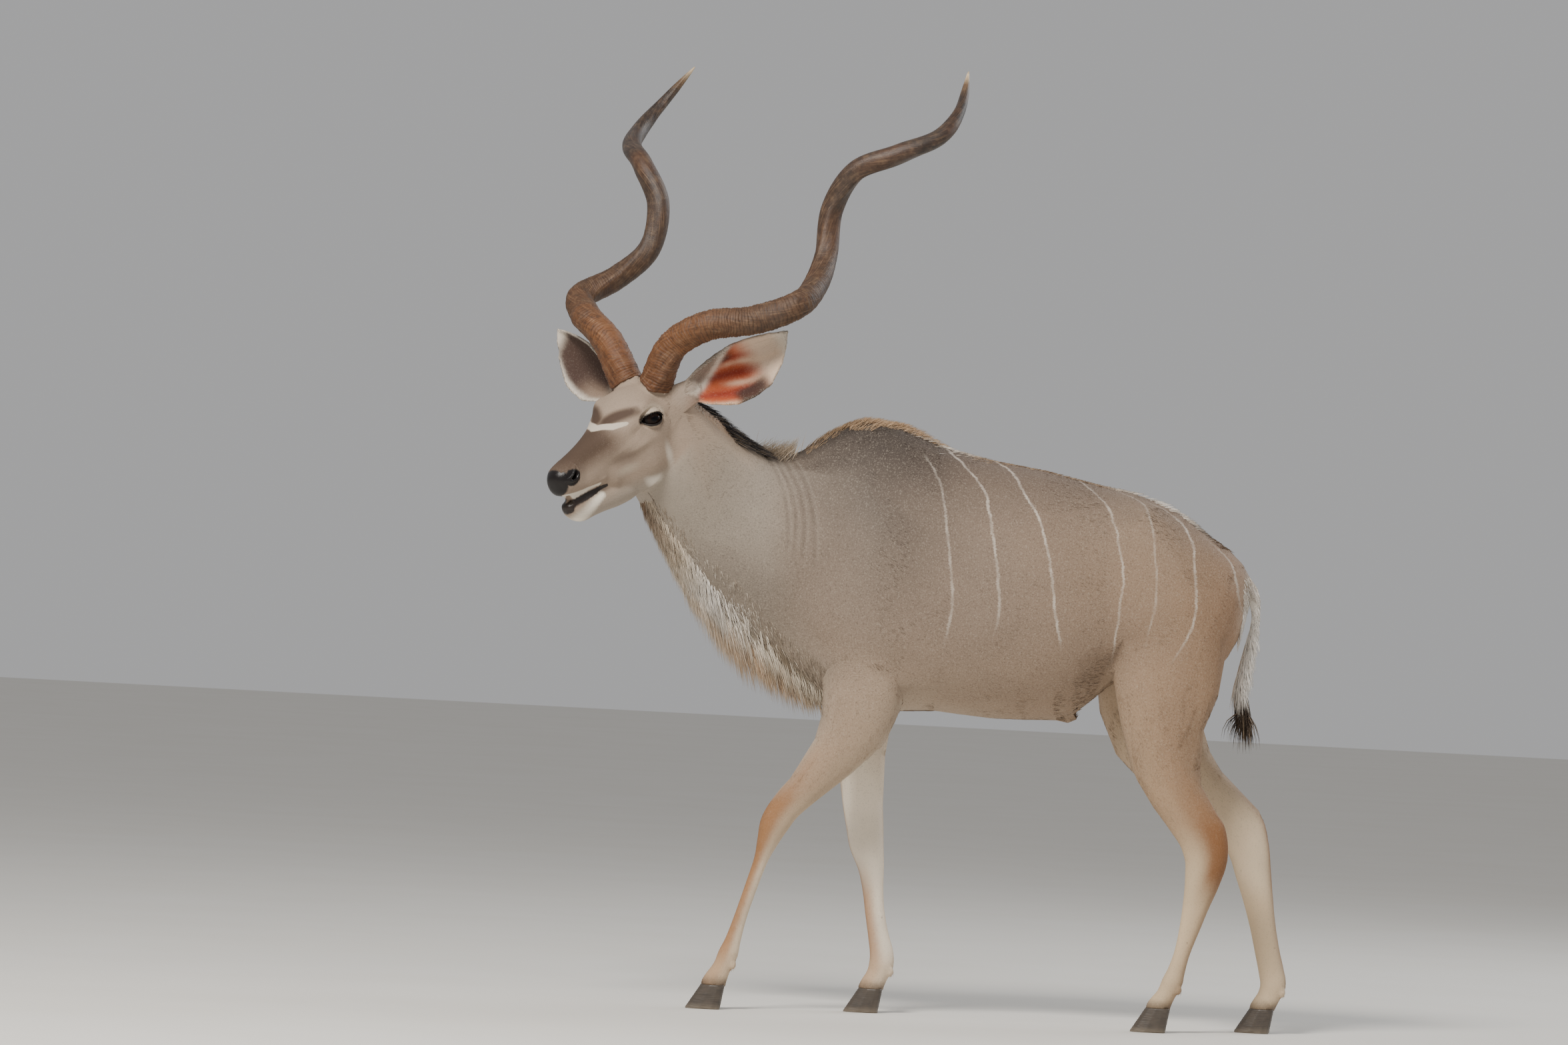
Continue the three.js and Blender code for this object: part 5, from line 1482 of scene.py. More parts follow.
def grow(name, cover, long, material, lie=None, tone=None, slot="coat", **inputs):
    """One coat piece: tufts over the skin where `cover` is above zero, `long` metres at most."""
    skin = bpy.data.objects["skin"].data.copy()
    every = np.ones((len(cover), 1))
    store(skin, "cover", np.clip(cover, 0, 1))
    store(skin, "long", np.broadcast_to(long, cover.shape))
    if lie is not None:
        fill(skin.attributes["lie"], lie * every)
    if tone is not None:
        fill(skin.attributes["tone"], np.hstack([tone * every, every]))
    values = {key.replace("_", " ").title(): value for key, value in inputs.items()} | {"Material": material}
    mesh = through(new_object(name + "_roots", skin), bpy.data.node_groups["Hair tufts"], values, name)
    for spare in SPARE:
        if spare in mesh.attributes:
            mesh.attributes.remove(mesh.attributes[spare])
    bpy.data.meshes.remove(skin)
    if not mesh.uv_layers.get("OFBake") or not mesh.polygons:
        raise RuntimeError(name + " grew no hair")
    finish(name, mesh, material, slot)


def skin_state():
    """The finished skin's points in table millimetres, labels, normals and head coordinates."""
    mesh = bpy.data.objects["skin"].data
    co = points_of(mesh)
    return to_table(co), label_points(co), normals_of(mesh), to_head(co)


def bare_face(h):
    """Where the face has no hair: the wet nose, nostrils, lips, mouth, eyes and lid edges."""
    bare = 1.0
    for at, reach, end in (
        ((292, 0, -44), (34, 32, 36), 1.25), ((258, 32, -42), (28, 26, 20), 1.3),
        ((226, 14, -112), (74, 38, 17), 1.2), ((170, 0, -106), (44, 40, 9), 1.2),
    ):
        bare = bare * ramp(1.0, end, np.linalg.norm((one_sided(h) - at) / reach, axis=1))
    for side in (1, -1):
        at, axes = eye_axes(side)
        q = (h - at) @ axes.T
        inside = (np.hypot(q[:, 0], q[:, 1]) < 60) & (q[:, 2] > -8)
        bare = bare * np.where(inside, ramp(1.05, 1.5, eye_measure(q)), 1)
    return bare


def mixed(base, *paints):
    """Colours laid over each other by their shares, one share for each point."""
    tone = colour(*base) * np.ones((len(paints[0][1]), 1))
    for rgb, share in paints:
        share = np.clip(share, 0, 1)[:, None]
        tone = tone * (1 - share) + colour(*rgb) * share
    return tone


def grow_beard(sizes, hair, p, body, normal):
    """Beard under the throat: a core of long locks and a pale edge that lies up the neck."""
    x, _, z = p.T
    row, across, away, side = edge_line(p, False)
    start, stop = 14.6, 22.3
    share = np.clip((row - start) / (stop - start), 0, 1)
    reach = along((
        (0, 0.5), (0.13, 0.82), (0.25, 1.06), (0.4, 1.08), (0.5, 1), (0.62, 0.84), (0.75, 0.62),
        (1, 0.3),
    ), share)
    span = body * ramp(start - 0.3, start + 0.5, row) * ramp(stop + 0.3, stop - 0.3, row) * (away < 130)
    wide = np.abs(across) / along(((0, 1), (0.4, 1), (0.7, 0.66), (1, 0.42)), share)
    streak = 0.5 + 0.5 * np.sin(x * 0.09 + 2.2 * np.sin(z * 0.021)) * np.sin(x * 0.031 + 1.0)
    blaze = ramp(17.6, 18.1, row) * ramp(19.6, 19.0, row)
    tone = mixed(
        (206, 174, 140), ((150, 116, 88), ramp(0.45, 0.75, share) * 0.8),
        ((246, 232, 210), ramp(0.35, 0.8, streak) * (0.85 - 0.4 * share)),
        ((246, 234, 214), ramp(12, 30, wide) * (0.95 - 0.35 * share)),
        ((112, 84, 62), ramp(0.7, 0.95, share) * ramp(20, -6, across) * 0.75),
        ((246, 240, 232), blaze * ramp(2, 12, wide)),
    )
    lie = in_surface(np.array([[0.14, 0.0, -1.0]]) + 0.12 * side * np.sign(across)[:, None], normal)
    core = span * ramp(44, 26, wide)
    length = sizes.reach * reach * (0.6 + 0.4 * ramp(40, 10, wide))
    for name, mine, seed in (("beard_left", across > 0, 21), ("beard_right", across <= 0, 22)):
        grow(name, core * mine, length, hair, lie, tone, density=sizes.locks, width=sizes.width,
             thickness=0.0014, sink=0.003, lift=0.42, fall=0.86, fall_way=(0.12, 0.0, -0.98),
             spread=0.24, swirl=1.5, swirl_scale=19.0, variation=0.5, twist=1.0, blunt=1.4, seed=seed)
    rim = span * ramp(24, 34, wide) * ramp(84, 64, wide)
    tone = mixed((228, 212, 190), ((196, 172, 144), ramp(0.3, 0.8, streak) * 0.6),
                 ((168, 152, 134), ramp(50, 76, wide)), ((244, 238, 230), blaze * 0.8))
    grow("beard_edge", rim, 0.03 + 0.03 * ramp(70, 40, wide), hair, lie, tone, density=62000.0,
         width=0.0028, thickness=0.0011, lift=0.13, fall=0.4, fall_way=(0.2, 0.0, -0.98), swirl=0.8,
         swirl_scale=26.0, variation=0.5, twist=0.4, blunt=1.6, segments=3, seed=23)


def grow_manes(sizes, fur, p, body):
    """Mane on the nape, pale tuft, crest of the withers, line of the back and belly line."""
    x, y, z = p.T
    row, across, away, _ = edge_line(p, True)
    high = np.abs(across)
    top = body * (away < 70)
    nape = top * ramp(18.9, 19.5, row) * ramp(22.6, 22.0, row) * ramp(46, 24, high)
    grow("mane_nape", nape, 0.05, fur, unit((0.7, 0.1, -0.5)), colour(58, 56, 60), density=420000.0,
         width=0.002, lift=0.62, fall=0.6, fall_way=(0.8, 0.1, -0.55), spread=0.16, swirl=0.3,
         swirl_scale=18.0, twist=0.5, seed=31)
    tuft = top * ramp(16.3, 16.7, row) * ramp(18.6, 18.1, row) * ramp(24, 10, high)
    grow("mane_tuft", tuft, 0.064, fur, unit((0.5, 0.0, 0.2)), colour(252, 232, 206), density=200000.0,
         width=0.0011, sink=0.002, lift=1.7, fall=0.3, fall_way=(0.9, 0.1, 0.25), spread=0.9, swirl=1.6,
         swirl_scale=34.0, variation=0.65, twist=1.0, segments=5, seed=32)
    crest = top * ramp(11.5, 12.2, row) * ramp(15.0, 14.4, row) * ramp(30, 12, high)
    grow("crest", crest, sizes.crest * (0.55 + 0.45 * ramp(30, 8, high)), fur, unit((0.7, 0.0, 0.3)),
         colour(192, 160, 126), density=150000.0, width=0.0017, sink=0.002, lift=0.6, fall=0.35,
         fall_way=(0.95, 0.0, 0.05), spread=0.26, swirl_scale=24.0, twist=1.0, seed=33)
    back = top * ramp(735, 700, x) * ramp(-150, -110, x) * ramp(24, 10, high)
    white = ramp(-110, -60, x) * ramp(70, 10, x) + ramp(400, 440, x) * ramp(610, 570, x)
    thin = 0.6 * (np.sin(x * 0.05) > 0.2)
    tone = mixed((150, 126, 104), ((92, 72, 56), ramp(590, 640, x)),
                 ((240, 232, 220), np.maximum(white, thin * ramp(10, 40, x) * ramp(620, 590, x))))
    grow("back_line", back, 0.017 + 0.015 * np.clip(white, 0, 1), fur, unit((0.9, 0.0, 0.1)), tone,
         density=90000.0, width=0.0024, thickness=0.001, lift=0.42, fall=0.3, fall_way=(1.0, 0.0, -0.2),
         twist=0.6, segments=3, seed=35)
    under = body * ramp(770, 752, z) * ramp(-110, -60, x) * ramp(400, 360, x) * ramp(100, 60, np.abs(y))
    grow("belly_line", under, 0.01, fur, unit((1.0, 0.0, -0.05)), colour(84, 66, 52), density=44000.0,
         width=0.002, thickness=0.0008, lift=0.08, fall=0.1, fall_way=(0.8, 0.0, -0.6), swirl_scale=20.0,
         twist=0.5, segments=3, seed=37)


def grow_tail(hair, fur, tail, z):
    """White hair that widens down the tail to a dark tuft."""
    low = ramp(1060, 860, z)
    dark = ramp(818, 790, z)
    tone = mixed((252, 247, 240), ((196, 176, 152), ramp(1040, 1080, z) * 0.6), ((48, 38, 33), dark))
    common = dict(slot="tail_hair", thickness=0.0015, twist=1.0, blunt=1.6)
    grow("tail_hair", tail * (0.5 + 0.5 * low) * (1 - dark),
         (0.026 + 0.058 * low) * (0.5 + 0.5 * ramp(790, 880, z)), hair, None, tone, density=150000.0,
         width=0.0034, lift=0.3, fall=0.72, fall_way=(0.02, 0.0, -1.0), spread=0.22, swirl=0.7,
         variation=0.5, seed=41, **common)
    grow("tail_tuft", tail * dark, 0.122, fur, None, colour(50, 38, 31), density=1100000.0, width=0.0036,
         lift=0.16, fall=0.97, fall_way=(0.06, 0.0, -1.0), spread=0.16, variation=0.45, seed=43,
         **common)


METRES = {"subtype": "DISTANCE", "unit": "LENGTH"}


class KUDU_PG_body(bpy.types.PropertyGroup):
    """Sizes of the skin and its short coat."""

    voxel: bpy.props.FloatProperty(
        name="Skin voxel", description="Cell size that fuses the body's forms into one skin",
        default=0.0032, min=0.002, max=0.01, **METRES)
    inset: bpy.props.FloatProperty(
        name="Coat depth", description="How far the skin lies inside the outline, millimetres",
        default=2.0, min=0.0, max=10.0)
    faces: bpy.props.IntProperty(
        name="Skin faces", description="Triangles left when the skin is thinned", default=98000, min=20000)
    density: bpy.props.FloatProperty(
        name="Tufts", description="Short tufts per square metre of the flank", default=19000.0, min=100.0)
    short: bpy.props.FloatProperty(
        name="Hair length", description="Length of the short coat on the flank",
        default=0.014, min=0.004, max=0.1, **METRES)


class KUDU_PG_long(bpy.types.PropertyGroup):
    """Sizes of the beard, mane, crest and tail hair."""

    locks: bpy.props.FloatProperty(
        name="Beard locks", description="Locks per square metre of throat", default=165000.0, min=100.0)
    width: bpy.props.FloatProperty(
        name="Lock width", description="Width of one lock of the beard",
        default=0.0027, min=0.001, max=0.03, **METRES)
    reach: bpy.props.FloatProperty(
        name="Beard length", description="Longest lock under the throat",
        default=0.176, min=0.02, max=0.4, **METRES)
    crest: bpy.props.FloatProperty(
        name="Crest length", description="Longest hair on the withers",
        default=0.042, min=0.01, max=0.1, **METRES)


class KUDU_PG_horn(bpy.types.PropertyGroup):
    """Sizes and colours of the horns and hooves."""

    pitch: bpy.props.FloatProperty(
        name="Ring pitch", description="Distance between growth rings near the base",
        default=0.0078, min=0.002, max=0.05, **METRES)
    depth: bpy.props.FloatProperty(
        name="Ring depth", description="Height of the growth rings near the base",
        default=0.0018, min=0.0, max=0.01, **METRES)
    base: bpy.props.FloatVectorProperty(
        name="Base colour", description="Colour of the horn near the skull",
        default=tuple(colour(116, 72, 36)), size=3, min=0, max=1, subtype="COLOR")
    tip: bpy.props.FloatVectorProperty(
        name="Tip colour", description="Colour of the horn's point",
        default=tuple(colour(224, 200, 164)), size=3, min=0, max=1, subtype="COLOR")


class KUDU_PG_studio(bpy.types.PropertyGroup):
    """Camera and light."""

    lens: bpy.props.FloatProperty(
        name="Focal length", description="Lens of the camera, on a 36 mm sensor", default=234.0, min=20.0,
        subtype="DISTANCE_CAMERA")
    key: bpy.props.FloatProperty(
        name="Key light", description="Strength of the high soft light", default=5.0, min=0.0)
    sky: bpy.props.FloatProperty(
        name="Fill light", description="Strength of the light from all round", default=0.46, min=0.0)


class KUDU_OT_skin(bpy.types.Operator):
    """Make the animal's skin as one closed piece"""

    bl_idname = "kudu.skin"
    bl_label = "Skin"

    def execute(self, context):
        sizes = context.scene.kudu_body
        mesh = build_skin(sizes.voxel, sizes.inset, sizes.faces)
        dress(mesh)
        finish("skin", mesh, skin_material(kudu_markings()), "coat", "torso", "neck", "head", "tail",
               "foreleg_left", "foreleg_right", "hindleg_left", "hindleg_right", "ear_left", "ear_right")
        return {"FINISHED"}


class KUDU_OT_short_coat(bpy.types.Operator):
    """Grow the short lying hair of body, neck, head and legs"""

    bl_idname = "kudu.short_coat"
    bl_label = "Short coat"

    def execute(self, context):
        sizes = context.scene.kudu_body
        tuft_tree()
        p, label, normal, h = skin_state()
        common = dict(
            material=coat_material("Kudu short hair", 0.62), lift=0.04, swirl=0.4, swirl_scale=12.0,
            variation=0.45, segments=2, smooth=False)
        thick = dict(common, density=sizes.density, width=0.0024, thickness=0.0006, sink=0.0004, spread=0.14)
        fine = dict(common, thickness=0.0005, sink=0.0003, spread=0.12)
        body = label == "body"
        belly = 1 + 0.5 * ramp(-0.3, -0.9, normal[:, 2])
        plain = 1 - 0.45 * ramp(0.7, 0.9, np.abs(normal[:, 1])) * body
        left, neck = p[:, 1] < 0, body_row(p) > 14.2
        for name, mine, seed in (
            ("coat_flank_left", body & left & ~neck, 3), ("coat_flank_right", body & ~left & ~neck, 5),
            ("coat_neck", body & neck, 7),
        ):
            cover, long = mine * plain * (1 - 0.3 * neck), sizes.short * belly * (1 - 0.25 * neck)
            grow(name, cover, long, seed=seed, **thick)
        rear = ramp(-30, -110, h[:, 0])
        fluff = bell(np.linalg.norm(one_sided(h) - EAR_ROOT - (0, 6, -8), axis=1), 0, 46)
        face = (label == "head") * bare_face(h) * (1 - 0.8 * rear * (1 - fluff))
        long = 0.0062 + 0.0035 * ramp(80, -60, h[:, 0]) + 0.014 * fluff
        grow("coat_head", face, long, density=60000.0, width=0.0016, seed=11, **fine)
        heel = bell(p[:, 2], 112, 22) * ramp(0.2, 0.7, normal[:, 0])
        long = 0.008 + 0.006 * ramp(350, 800, p[:, 2]) + 0.014 * heel
        for end in ("fore", "hind"):
            mine = np.isin(label, (end + "_left", end + "_right")) * ramp(60, 66, p[:, 2])
            grow("coat_" + end + "legs", mine, long, density=26000.0, width=0.0021, seed=13, **fine)
        return {"FINISHED"}


class KUDU_OT_long_hair(bpy.types.Operator):
    """Grow the beard, mane, crest, back line, belly line and tail hair"""

    bl_idname = "kudu.long_hair"
    bl_label = "Long hair"

    def execute(self, context):
        sizes = context.scene.kudu_long
        long_hair = coat_material("Kudu long hair", 0.65, 0.14, 0.45, 0.05, (244, 232, 214))
        fur = coat_material("Kudu crest hair", 0.65, 0.12, 0.35, 0.05, (214, 188, 156))
        tail_hair = coat_material("Kudu tail hair", 0.65, 0.06, 0.5, 0.0, (255, 252, 246))
        p, label, normal, _ = skin_state()
        body = label == "body"
        grow_beard(sizes, long_hair, p, body, normal)
        grow_manes(sizes, fur, p, body)
        grow_tail(tail_hair, fur, (label == "tail") * ramp(-0.75, -0.3, normal[:, 2]), p[:, 2])
        return {"FINISHED"}


class KUDU_OT_ear_hair(bpy.types.Operator):
    """Grow the hair of the ears and the lashes"""

    bl_idname = "kudu.ear_hair"
    bl_label = "Ear hair"

    def execute(self, context):
        hair = coat_material("Kudu ear hair", 0.6, 0.15, 0.25, 0.1, (240, 234, 224))
        p, label, normal, h = skin_state()
        tones = bpy.data.objects["skin"].data.attributes["tone"].data
        skin_tone = rows_of(tones, "color", 4)[:, :3].astype(float)
        for name in ("left", "right"):
            _, axis, opening, front, _ = ear_frame(name)
            t, edge = ear_place(name, p)
            rim = np.maximum(ramp(0.9, 0.98, edge), ramp(-0.9, -0.98, edge))
            rim = np.maximum(rim, ramp(0.85, 0.96, t))
            if name == "left":
                rim = np.maximum(rim, ramp(0.05, 0.0, t - 0.25 - 0.33 * edge) * ramp(0.1, 0.2, t))
            inner = ramp(0.0, 0.3, normal @ opening)
            cover = (label == "ear_" + name) * (inner * (0.1 + 0.9 * rim) + (1 - inner) * 0.6)
            long = inner * (0.005 + 0.006 * rim) + (1 - inner) * 0.007
            pale, inner = (rim * inner)[:, None], inner[:, None]
            inward = unit(-np.sign(edge)[:, None] * front * 0.9 + axis * 0.6 + opening * 0.3)
            lie = in_surface(inward * inner + axis * (1 - inner), normal)
            # the ear hair takes the skin's tone, with the painted shade of the far ear's inside
            tone = skin_tone * (1 - 0.6 * pale) + 0.6 * colour(232, 222, 208) * pale
            grow("ear_hair_" + name, cover, long, hair, lie, tone, density=80000.0, width=0.0018,
                 thickness=0.0007, sink=0.0005, lift=0.09, swirl=0.3, variation=0.5, segments=2, seed=51,
                 slot="ear")

        lids, forward = np.zeros(len(p)), np.zeros_like(p)
        for side in (1, -1):
            at, axes = eye_axes(side)
            q = (h - at) @ axes.T
            m = eye_measure(q)
            rear, up, out = q.T
            mine = (out > 4) & (np.hypot(rear, up) < 40) & (up > 3) & (m > 0.98) & (m < 1.22)
            lids[mine] = 1
            forward[mine] = (axes[2] * 0.6 - axes[1] * 0.2 + q[mine][:, :1] / 40 * axes[0]) @ HEAD_AXES
        lash = coat_material("Kudu lashes", 0.5, 0.0, 0.0)
        grow("lashes", lids, 0.013, lash, unit(forward + (0, 0, 1e-6)), colour(20, 16, 14), density=240000.0,
             width=0.0009, thickness=0.0007, sink=0.0005, lift=0.5, fall=0.5, fall_way=(-0.3, -0.6, -0.2),
             swirl=0.2, swirl_scale=20.0, segments=3, seed=61)
        return {"FINISHED"}


class KUDU_OT_eyes(bpy.types.Operator):
    """Make the two eyes"""

    bl_idname = "kudu.eyes"
    bl_label = "Eyes"

    def execute(self, context):
        a = np.linspace(0.01, math.pi - 0.01, 40)
        b = TURN * np.arange(56) / 56
        radius = (EYE_RADIUS - 1.2) * (1 + 0.035 * bell(a, 0, 0.42))
        local = np.stack([
            np.outer(radius * np.sin(a), np.cos(b)), np.outer(radius * np.sin(a), np.sin(b)),
            np.outer(radius * np.cos(a), np.ones(56)),
        ], -1)
        poles = [[0, 0, EYE_RADIUS], [0, 0, -EYE_RADIUS]]
        for name, side in (("left", 1), ("right", -1)):
            at, axes = eye_axes(side)
            mesh = mesh_of("eyeball_" + name, [tube(from_head(local @ axes + at))])
            shade_smooth(mesh)
            store(mesh, "iris", np.vstack([local.reshape(-1, 3), poles]) / 1000, "FLOAT_VECTOR")
            made, t, shader = new_material("Kudu eye " + name)
            place = attribute(t, "iris", "Vector")
            x, y, _ = t.parts(place)
            pupil = t.vector("LENGTH", t.point(t.over(x, 0.0105), t.over(y, 0.0062), 0.0))
            ring = t.vector("LENGTH", t.point(t.over(x, 0.0185), t.over(y, 0.0165), 0.0))
            streak = t.noise(t.scaled(place, 600.0), 1.0, 3.0)
            tone = t.blend(streak, paint(34, 20, 13), paint(15, 10, 8))
            tone = layered(t, tone, (
                (pupil, 1.1, 0.9, 1.0, (4, 4, 6)), (ring, 0.9, 1.05, 1.0, (16, 12, 11))))
            for key, value in (("Base Color", tone), ("Roughness", 0.08), ("Specular IOR Level", 0.1),
                               ("Coat Weight", 0.06), ("Coat Roughness", 0.02)):
                t.join(shader.inputs[key], value)
            finish("eyeball_" + name, mesh, made, "eye", "eye_" + name)
        return {"FINISHED"}


def ring_tree():
    """Geometry Nodes: rings raised on a horn along its `way` attribute, wearing smooth up the horn."""
    group, t, source, out = new_group("Horn rings", "GeometryNodeTree", [
        ("Horn", "Geometry"), ("Pitch", "Float", 0.0075), ("Depth", "Float", 0.0016),
        ("Worn From", "Float", 0.2), ("Worn To", "Float", 0.62), ("Material", "Material"),
    ], [("Horn", "Geometry")])
    way, share = (
        t.put("GeometryNodeInputNamedAttribute", {"Name": name}, data_type="FLOAT").outputs["Attribute"]
        for name in ("way", "share"))
    place = t.first("GeometryNodeInputPosition")
    turns = t.over(t.plus(way, horn_wander(t, place)), source["Pitch"])
    saw = t.sum("FRACT", turns)
    ridge = t.times(t.step(saw, 0.0, 0.65), t.step(saw, 1.0, 0.72))
    slow = t.sum("SINE", t.times(turns, 1.7))
    strength = t.step(share, source["Worn From"], source["Worn To"], 1.0, 0.04)
    high = t.times(t.plus(t.minus(ridge, 0.6), t.times(slow, 0.35)), source["Depth"])
    high = t.times(high, strength)
    normal = t.first("GeometryNodeInputNormal")
    moved = t.put("GeometryNodeSetPosition", {"Geometry": source["Horn"], "Offset": t.scaled(normal, high)})
    real = t.first("GeometryNodeRealizeInstances", {0: moved.outputs[0]})
    done = t.put("GeometryNodeSetMaterial", {"Geometry": real, "Material": source["Material"]})
    out("Horn", done.outputs[0])
    return group


def horn_wander(t, place):
    """How far the growth rings stray along the horn, metres."""
    return t.times(t.minus(t.noise(place, 16.0, 4.0), 0.5), 0.05)


def horn_material(base, tip, pitch):
    made, t, shader = new_material("Kudu horn")
    share, way = attribute(t, "share"), attribute(t, "way")
    place = t.place()
    bands = t.put("ShaderNodeValToRGB", {0: share})
    rows = (
        (0.0, colour(60, 38, 24)), (0.1, colour(104, 62, 30)), (0.17, np.array(base)),
        (0.28, colour(84, 56, 34)), (0.44, colour(72, 49, 31)), (0.62, colour(66, 48, 36)),
        (0.8, colour(54, 42, 35)), (0.94, colour(42, 33, 28)), (0.966, colour(104, 80, 56)),
        (0.987, np.array(tip)),
    )
    line = bands.color_ramp
    while len(line.elements) < len(rows):
        line.elements.new(0.5)
    for element, (spot, rgb) in zip(line.elements, rows):
        element.position = spot
        element.color = (*rgb, 1.0)
    cells = t.noise(t.scaled(place, 60.0), 1.0, 4.0, 0.65)
    patches = t.noise(place, 9.0, 3.0, 0.6)
    strand = t.noise(attribute(t, "strand", "Vector"), 7.0, 4.0, 0.7)
    tone = layered(t, bands.outputs[0], (
        (patches, 0.45, 0.7, 0.22, (112, 70, 42)), (patches, 0.5, 0.3, 0.35, (64, 54, 48)),
        (cells, 0.45, 0.72, 0.16, (160, 132, 102)), (cells, 0.5, 0.28, 0.5, (30, 21, 16)),
        (strand, 0.5, 0.3, 0.5, (40, 28, 20)), (strand, 0.52, 0.74, 0.35, (168, 136, 104))))
    rings = t.sum("FRACT", t.over(t.plus(way, horn_wander(t, place)), pitch))
    groove = t.times(t.step(rings, 0.7, 0.98), t.step(share, 0.6, 0.25))
    tone = t.blend(t.times(groove, 0.5), tone, paint(30, 20, 14))
    height = t.plus(t.plus(t.noise(place, 700.0, 3.0), cells), strand)
    finish_shader(t, shader, tone, t.step(share, 0.3, 0.9, 0.58, 0.36), height)
    return made


class KUDU_OT_horns(bpy.types.Operator):
    """Make the two spiral horns with their growth rings"""

    bl_idname = "kudu.horns"
    bl_label = "Horns"

    def execute(self, context):
        sizes = context.scene.kudu_horn
        material = horn_material(sizes.base, sizes.tip, sizes.pitch)
        tree = ring_tree()
        share = np.linspace(HORN_SEAT, 1.0, 860)
        way = run_length(horn_line(share)[0]) / 1000
        a = TURN * np.arange(44) / 44
        round_it = np.stack(np.broadcast_arrays(np.cos(a), np.sin(a), 2 * way[:, None]), -1).reshape(-1, 3)
        for side in ("left", "right"):
            rings = horn_rings(side, share, 44)
            if side == "right":
                rings = rings[:, ::-1]
            mesh = mesh_of("horn_" + side + "_shape", [tube(rings)])
            shade_smooth(mesh)
            store(mesh, "share", np.concatenate([np.repeat(share, 44), [HORN_SEAT, 1.0]]))
            store(mesh, "way", np.concatenate([np.repeat(way, 44), [0, way[-1]]]))
            store(mesh, "strand", np.vstack([round_it, round_it[:1], round_it[-1:]]), "FLOAT_VECTOR")
            values = {"Pitch": sizes.pitch, "Depth": sizes.depth, "Material": material}
            name = "spiral_horn_" + side
            finish(name, through(new_object(name + "_shape", mesh), tree, values, name), material, "horn",
                   "horn_" + side)
        return {"FINISHED"}


class KUDU_OT_hooves(bpy.types.Operator):
    """Round off the eight claws of the hooves"""

    bl_idname = "kudu.hooves"
    bl_label = "Hooves"

    def execute(self, context):
        made, t, shader = new_material("Kudu hoof")
        place = t.place()
        z = t.parts(place)[2]
        cloud = t.noise(place, 40.0, 4.0)
        tone = t.blend(cloud, paint(52, 46, 42), paint(96, 86, 76))
        rings = t.noise(t.vector("MULTIPLY", place, (30.0, 30.0, 420.0)), 1.0, 2.0)
        tone = layered(t, tone, (
            (z, 0.018, 0.0, 0.6, (132, 120, 104)), (rings, 0.5, 0.75, 0.35, (30, 26, 24))))
        finish_shader(t, shader, tone, t.step(cloud, 0.3, 0.7, 0.5, 0.35), rings)
        names = [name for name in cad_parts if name.startswith("hoof_")]
        if len(names) != 8:
            raise RuntimeError("eight claws were expected")
        for name in names:
            source = bpy.data.objects[name]
            mesh = source.data.copy()
            bm = bmesh.new()
            bm.from_mesh(mesh)
            bmesh.ops.transform(bm, matrix=source.matrix_world, verts=bm.verts)
            bmesh.ops.remove_doubles(bm, verts=bm.verts, dist=1e-5)
            bm.to_mesh(mesh)
            bm.free()
            claw = name.replace("hoof", "claw")
            mesh = fused(new_object(name + "_shape", mesh), 0.0022, claw)
            co = points_of(mesh)
            floor = co[:, 2].min()
            co = eased(co, edges_of(mesh), 0.5, 6, 0.3)
            co[:, 2] = np.maximum(co[:, 2], floor)
            set_points(mesh, co)
            shade_smooth(mesh)
            finish(claw, mesh, made, "hoof", name)
        return {"FINISHED"}


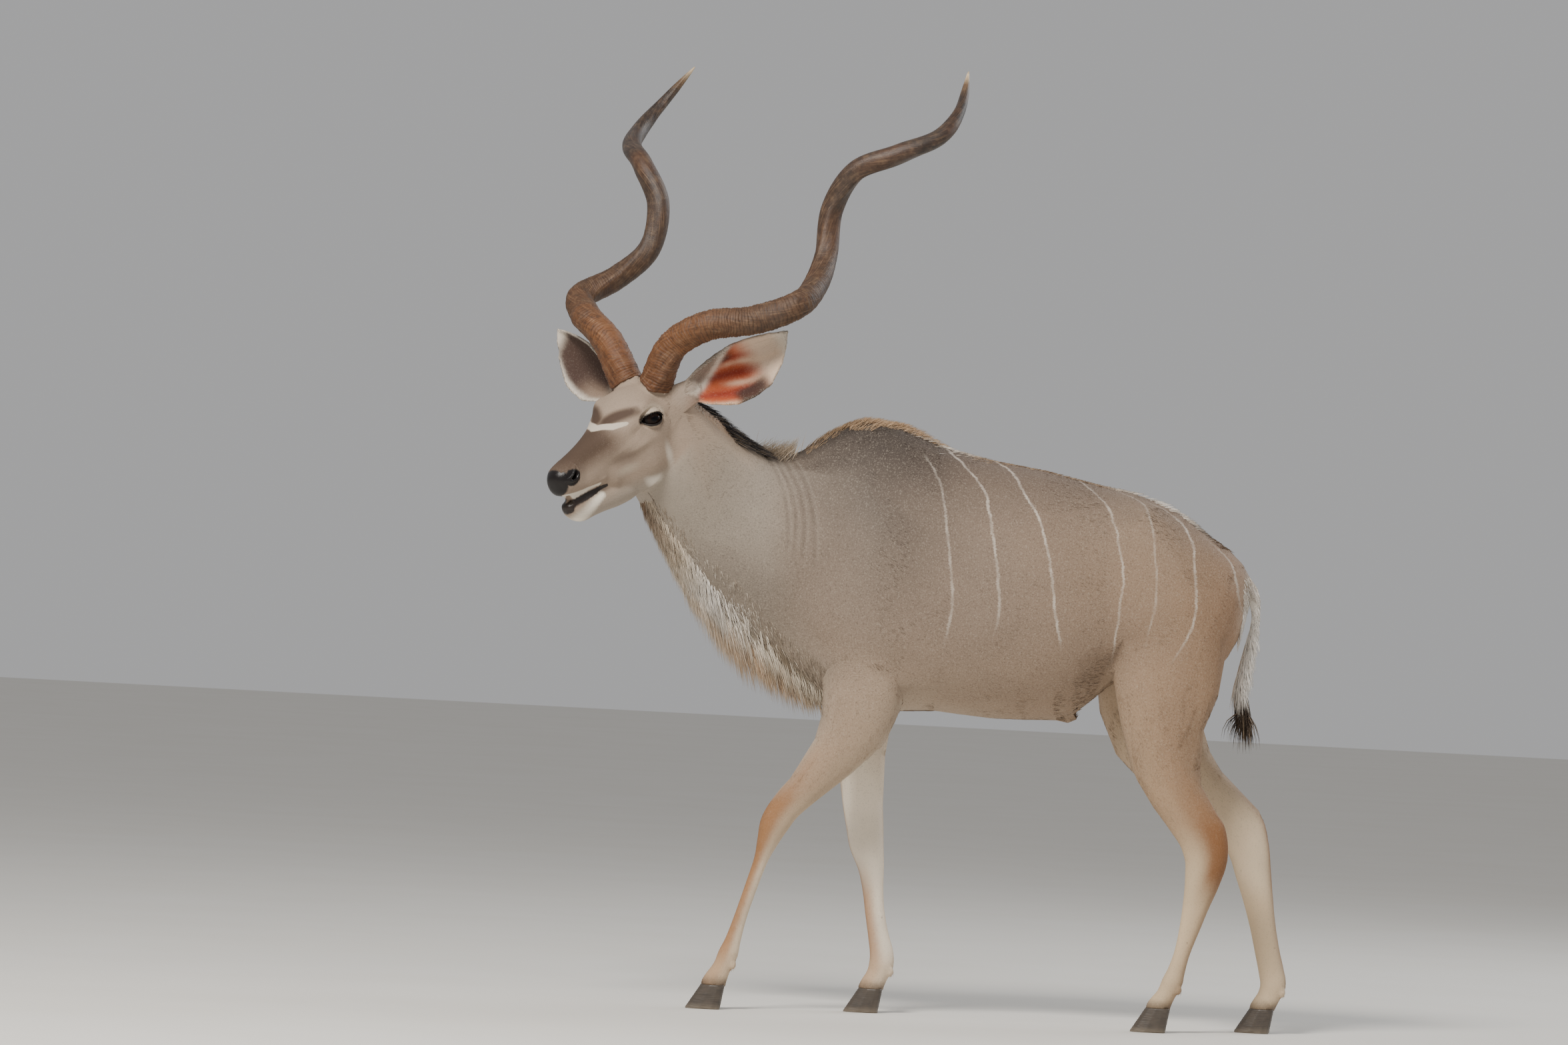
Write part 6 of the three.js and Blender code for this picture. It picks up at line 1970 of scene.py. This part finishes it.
class KUDU_OT_stage(bpy.types.Operator):
    """Set up the floor, the light and the camera"""

    bl_idname = "kudu.stage"
    bl_label = "Stage"

    def execute(self, context):
        sizes = context.scene.kudu_studio
        scene = context.scene
        bpy.ops.mesh.primitive_plane_add(size=60.0, location=(0, 0, 0))
        floor = context.object
        floor.name = "studio_floor"
        made, t, shader = new_material("Studio floor")
        place = t.place()
        tone = t.blend(t.noise(place, 2.0), paint(222, 218, 210), paint(228, 225, 219))
        t.join(shader.inputs["Base Color"], tone)
        shader.inputs["Roughness"].default_value = 0.9
        floor.data.materials.append(made)

        world = bpy.data.worlds.new("Studio")
        world.use_nodes = True
        back = world.node_tree.nodes["Background"]
        back.inputs[0].default_value = (0.9, 0.9, 0.91, 1)
        back.inputs[1].default_value = sizes.sky
        scene.world = world
        for name, place, aim, size, power, warmth in (
            ("Key", (-2.2, -5.4, 6.4), (0, 0, 0.9), 1.9, 140.0, (1.0, 0.965, 0.91)),
            ("Rim", (4.5, 3.5, 4.5), (0, 0, 1.0), 4.0, 40.0, (0.92, 0.96, 1.0)),
        ):
            lamp = bpy.data.lights.new(name, "AREA")
            lamp.size = size
            lamp.energy = power * sizes.key
            lamp.color = warmth
            obj = bpy.data.objects.new(name, lamp)
            scene.collection.objects.link(obj)
            obj.location = place
            obj.rotation_euler = (Vector(aim) - Vector(place)).to_track_quat("-Z", "Y").to_euler()

        lens = bpy.data.cameras.new("Camera")
        lens.sensor_width = 36.0
        lens.lens = sizes.lens
        lens.clip_end = 200.0
        camera = bpy.data.objects.new("Camera", lens)
        scene.collection.objects.link(camera)
        at, aim = Vector((0.039, -25.046, 1.308)), Vector((-0.353, -0.080, 1.194))
        ahead = (aim - at).normalized()
        right = Vector((math.cos(math.radians(3)), 0, math.sin(math.radians(3))))
        right = (right - right.dot(ahead) * ahead).normalized()
        up = right.cross(ahead)
        turn = Matrix((right, up, -ahead)).transposed().to_4x4()
        camera.matrix_world = Matrix.Translation(at) @ turn
        scene.camera = camera
        return {"FINISHED"}


class KUDU_PT_panel(bpy.types.Panel):
    """The kudu's pieces, in the order they are made"""

    bl_idname = "KUDU_PT_panel"
    bl_label = "Kudu bull"
    bl_space_type = "VIEW_3D"
    bl_region_type = "UI"
    bl_category = "Kudu"

    def draw(self, context):
        for group in GROUPS:
            sizes = getattr(context.scene, group)
            box = self.layout.box()
            for key in sizes.bl_rna.properties.keys():
                if key not in ("rna_type", "name"):
                    box.prop(sizes, key)
        for piece in PIECES:
            self.layout.operator(piece.bl_idname)


GROUPS = {
    "kudu_body": KUDU_PG_body, "kudu_long": KUDU_PG_long, "kudu_horn": KUDU_PG_horn,
    "kudu_studio": KUDU_PG_studio,
}
PIECES = (KUDU_OT_stage, KUDU_OT_skin, KUDU_OT_eyes, KUDU_OT_horns, KUDU_OT_hooves, KUDU_OT_short_coat,
          KUDU_OT_long_hair, KUDU_OT_ear_hair)


def register():
    for made in (*GROUPS.values(), *PIECES, KUDU_PT_panel):
        bpy.utils.register_class(made)
    for name, group in GROUPS.items():
        setattr(bpy.types.Scene, name, bpy.props.PointerProperty(type=group))


def unregister():
    for name in GROUPS:
        delattr(bpy.types.Scene, name)
    for made in (KUDU_PT_panel, *reversed(PIECES), *reversed(GROUPS.values())):
        bpy.utils.unregister_class(made)


def main():
    register()
    for piece in PIECES:
        group, name = piece.bl_idname.split(".")
        getattr(getattr(bpy.ops, group), name)()


if __name__ == "__main__":
    main()
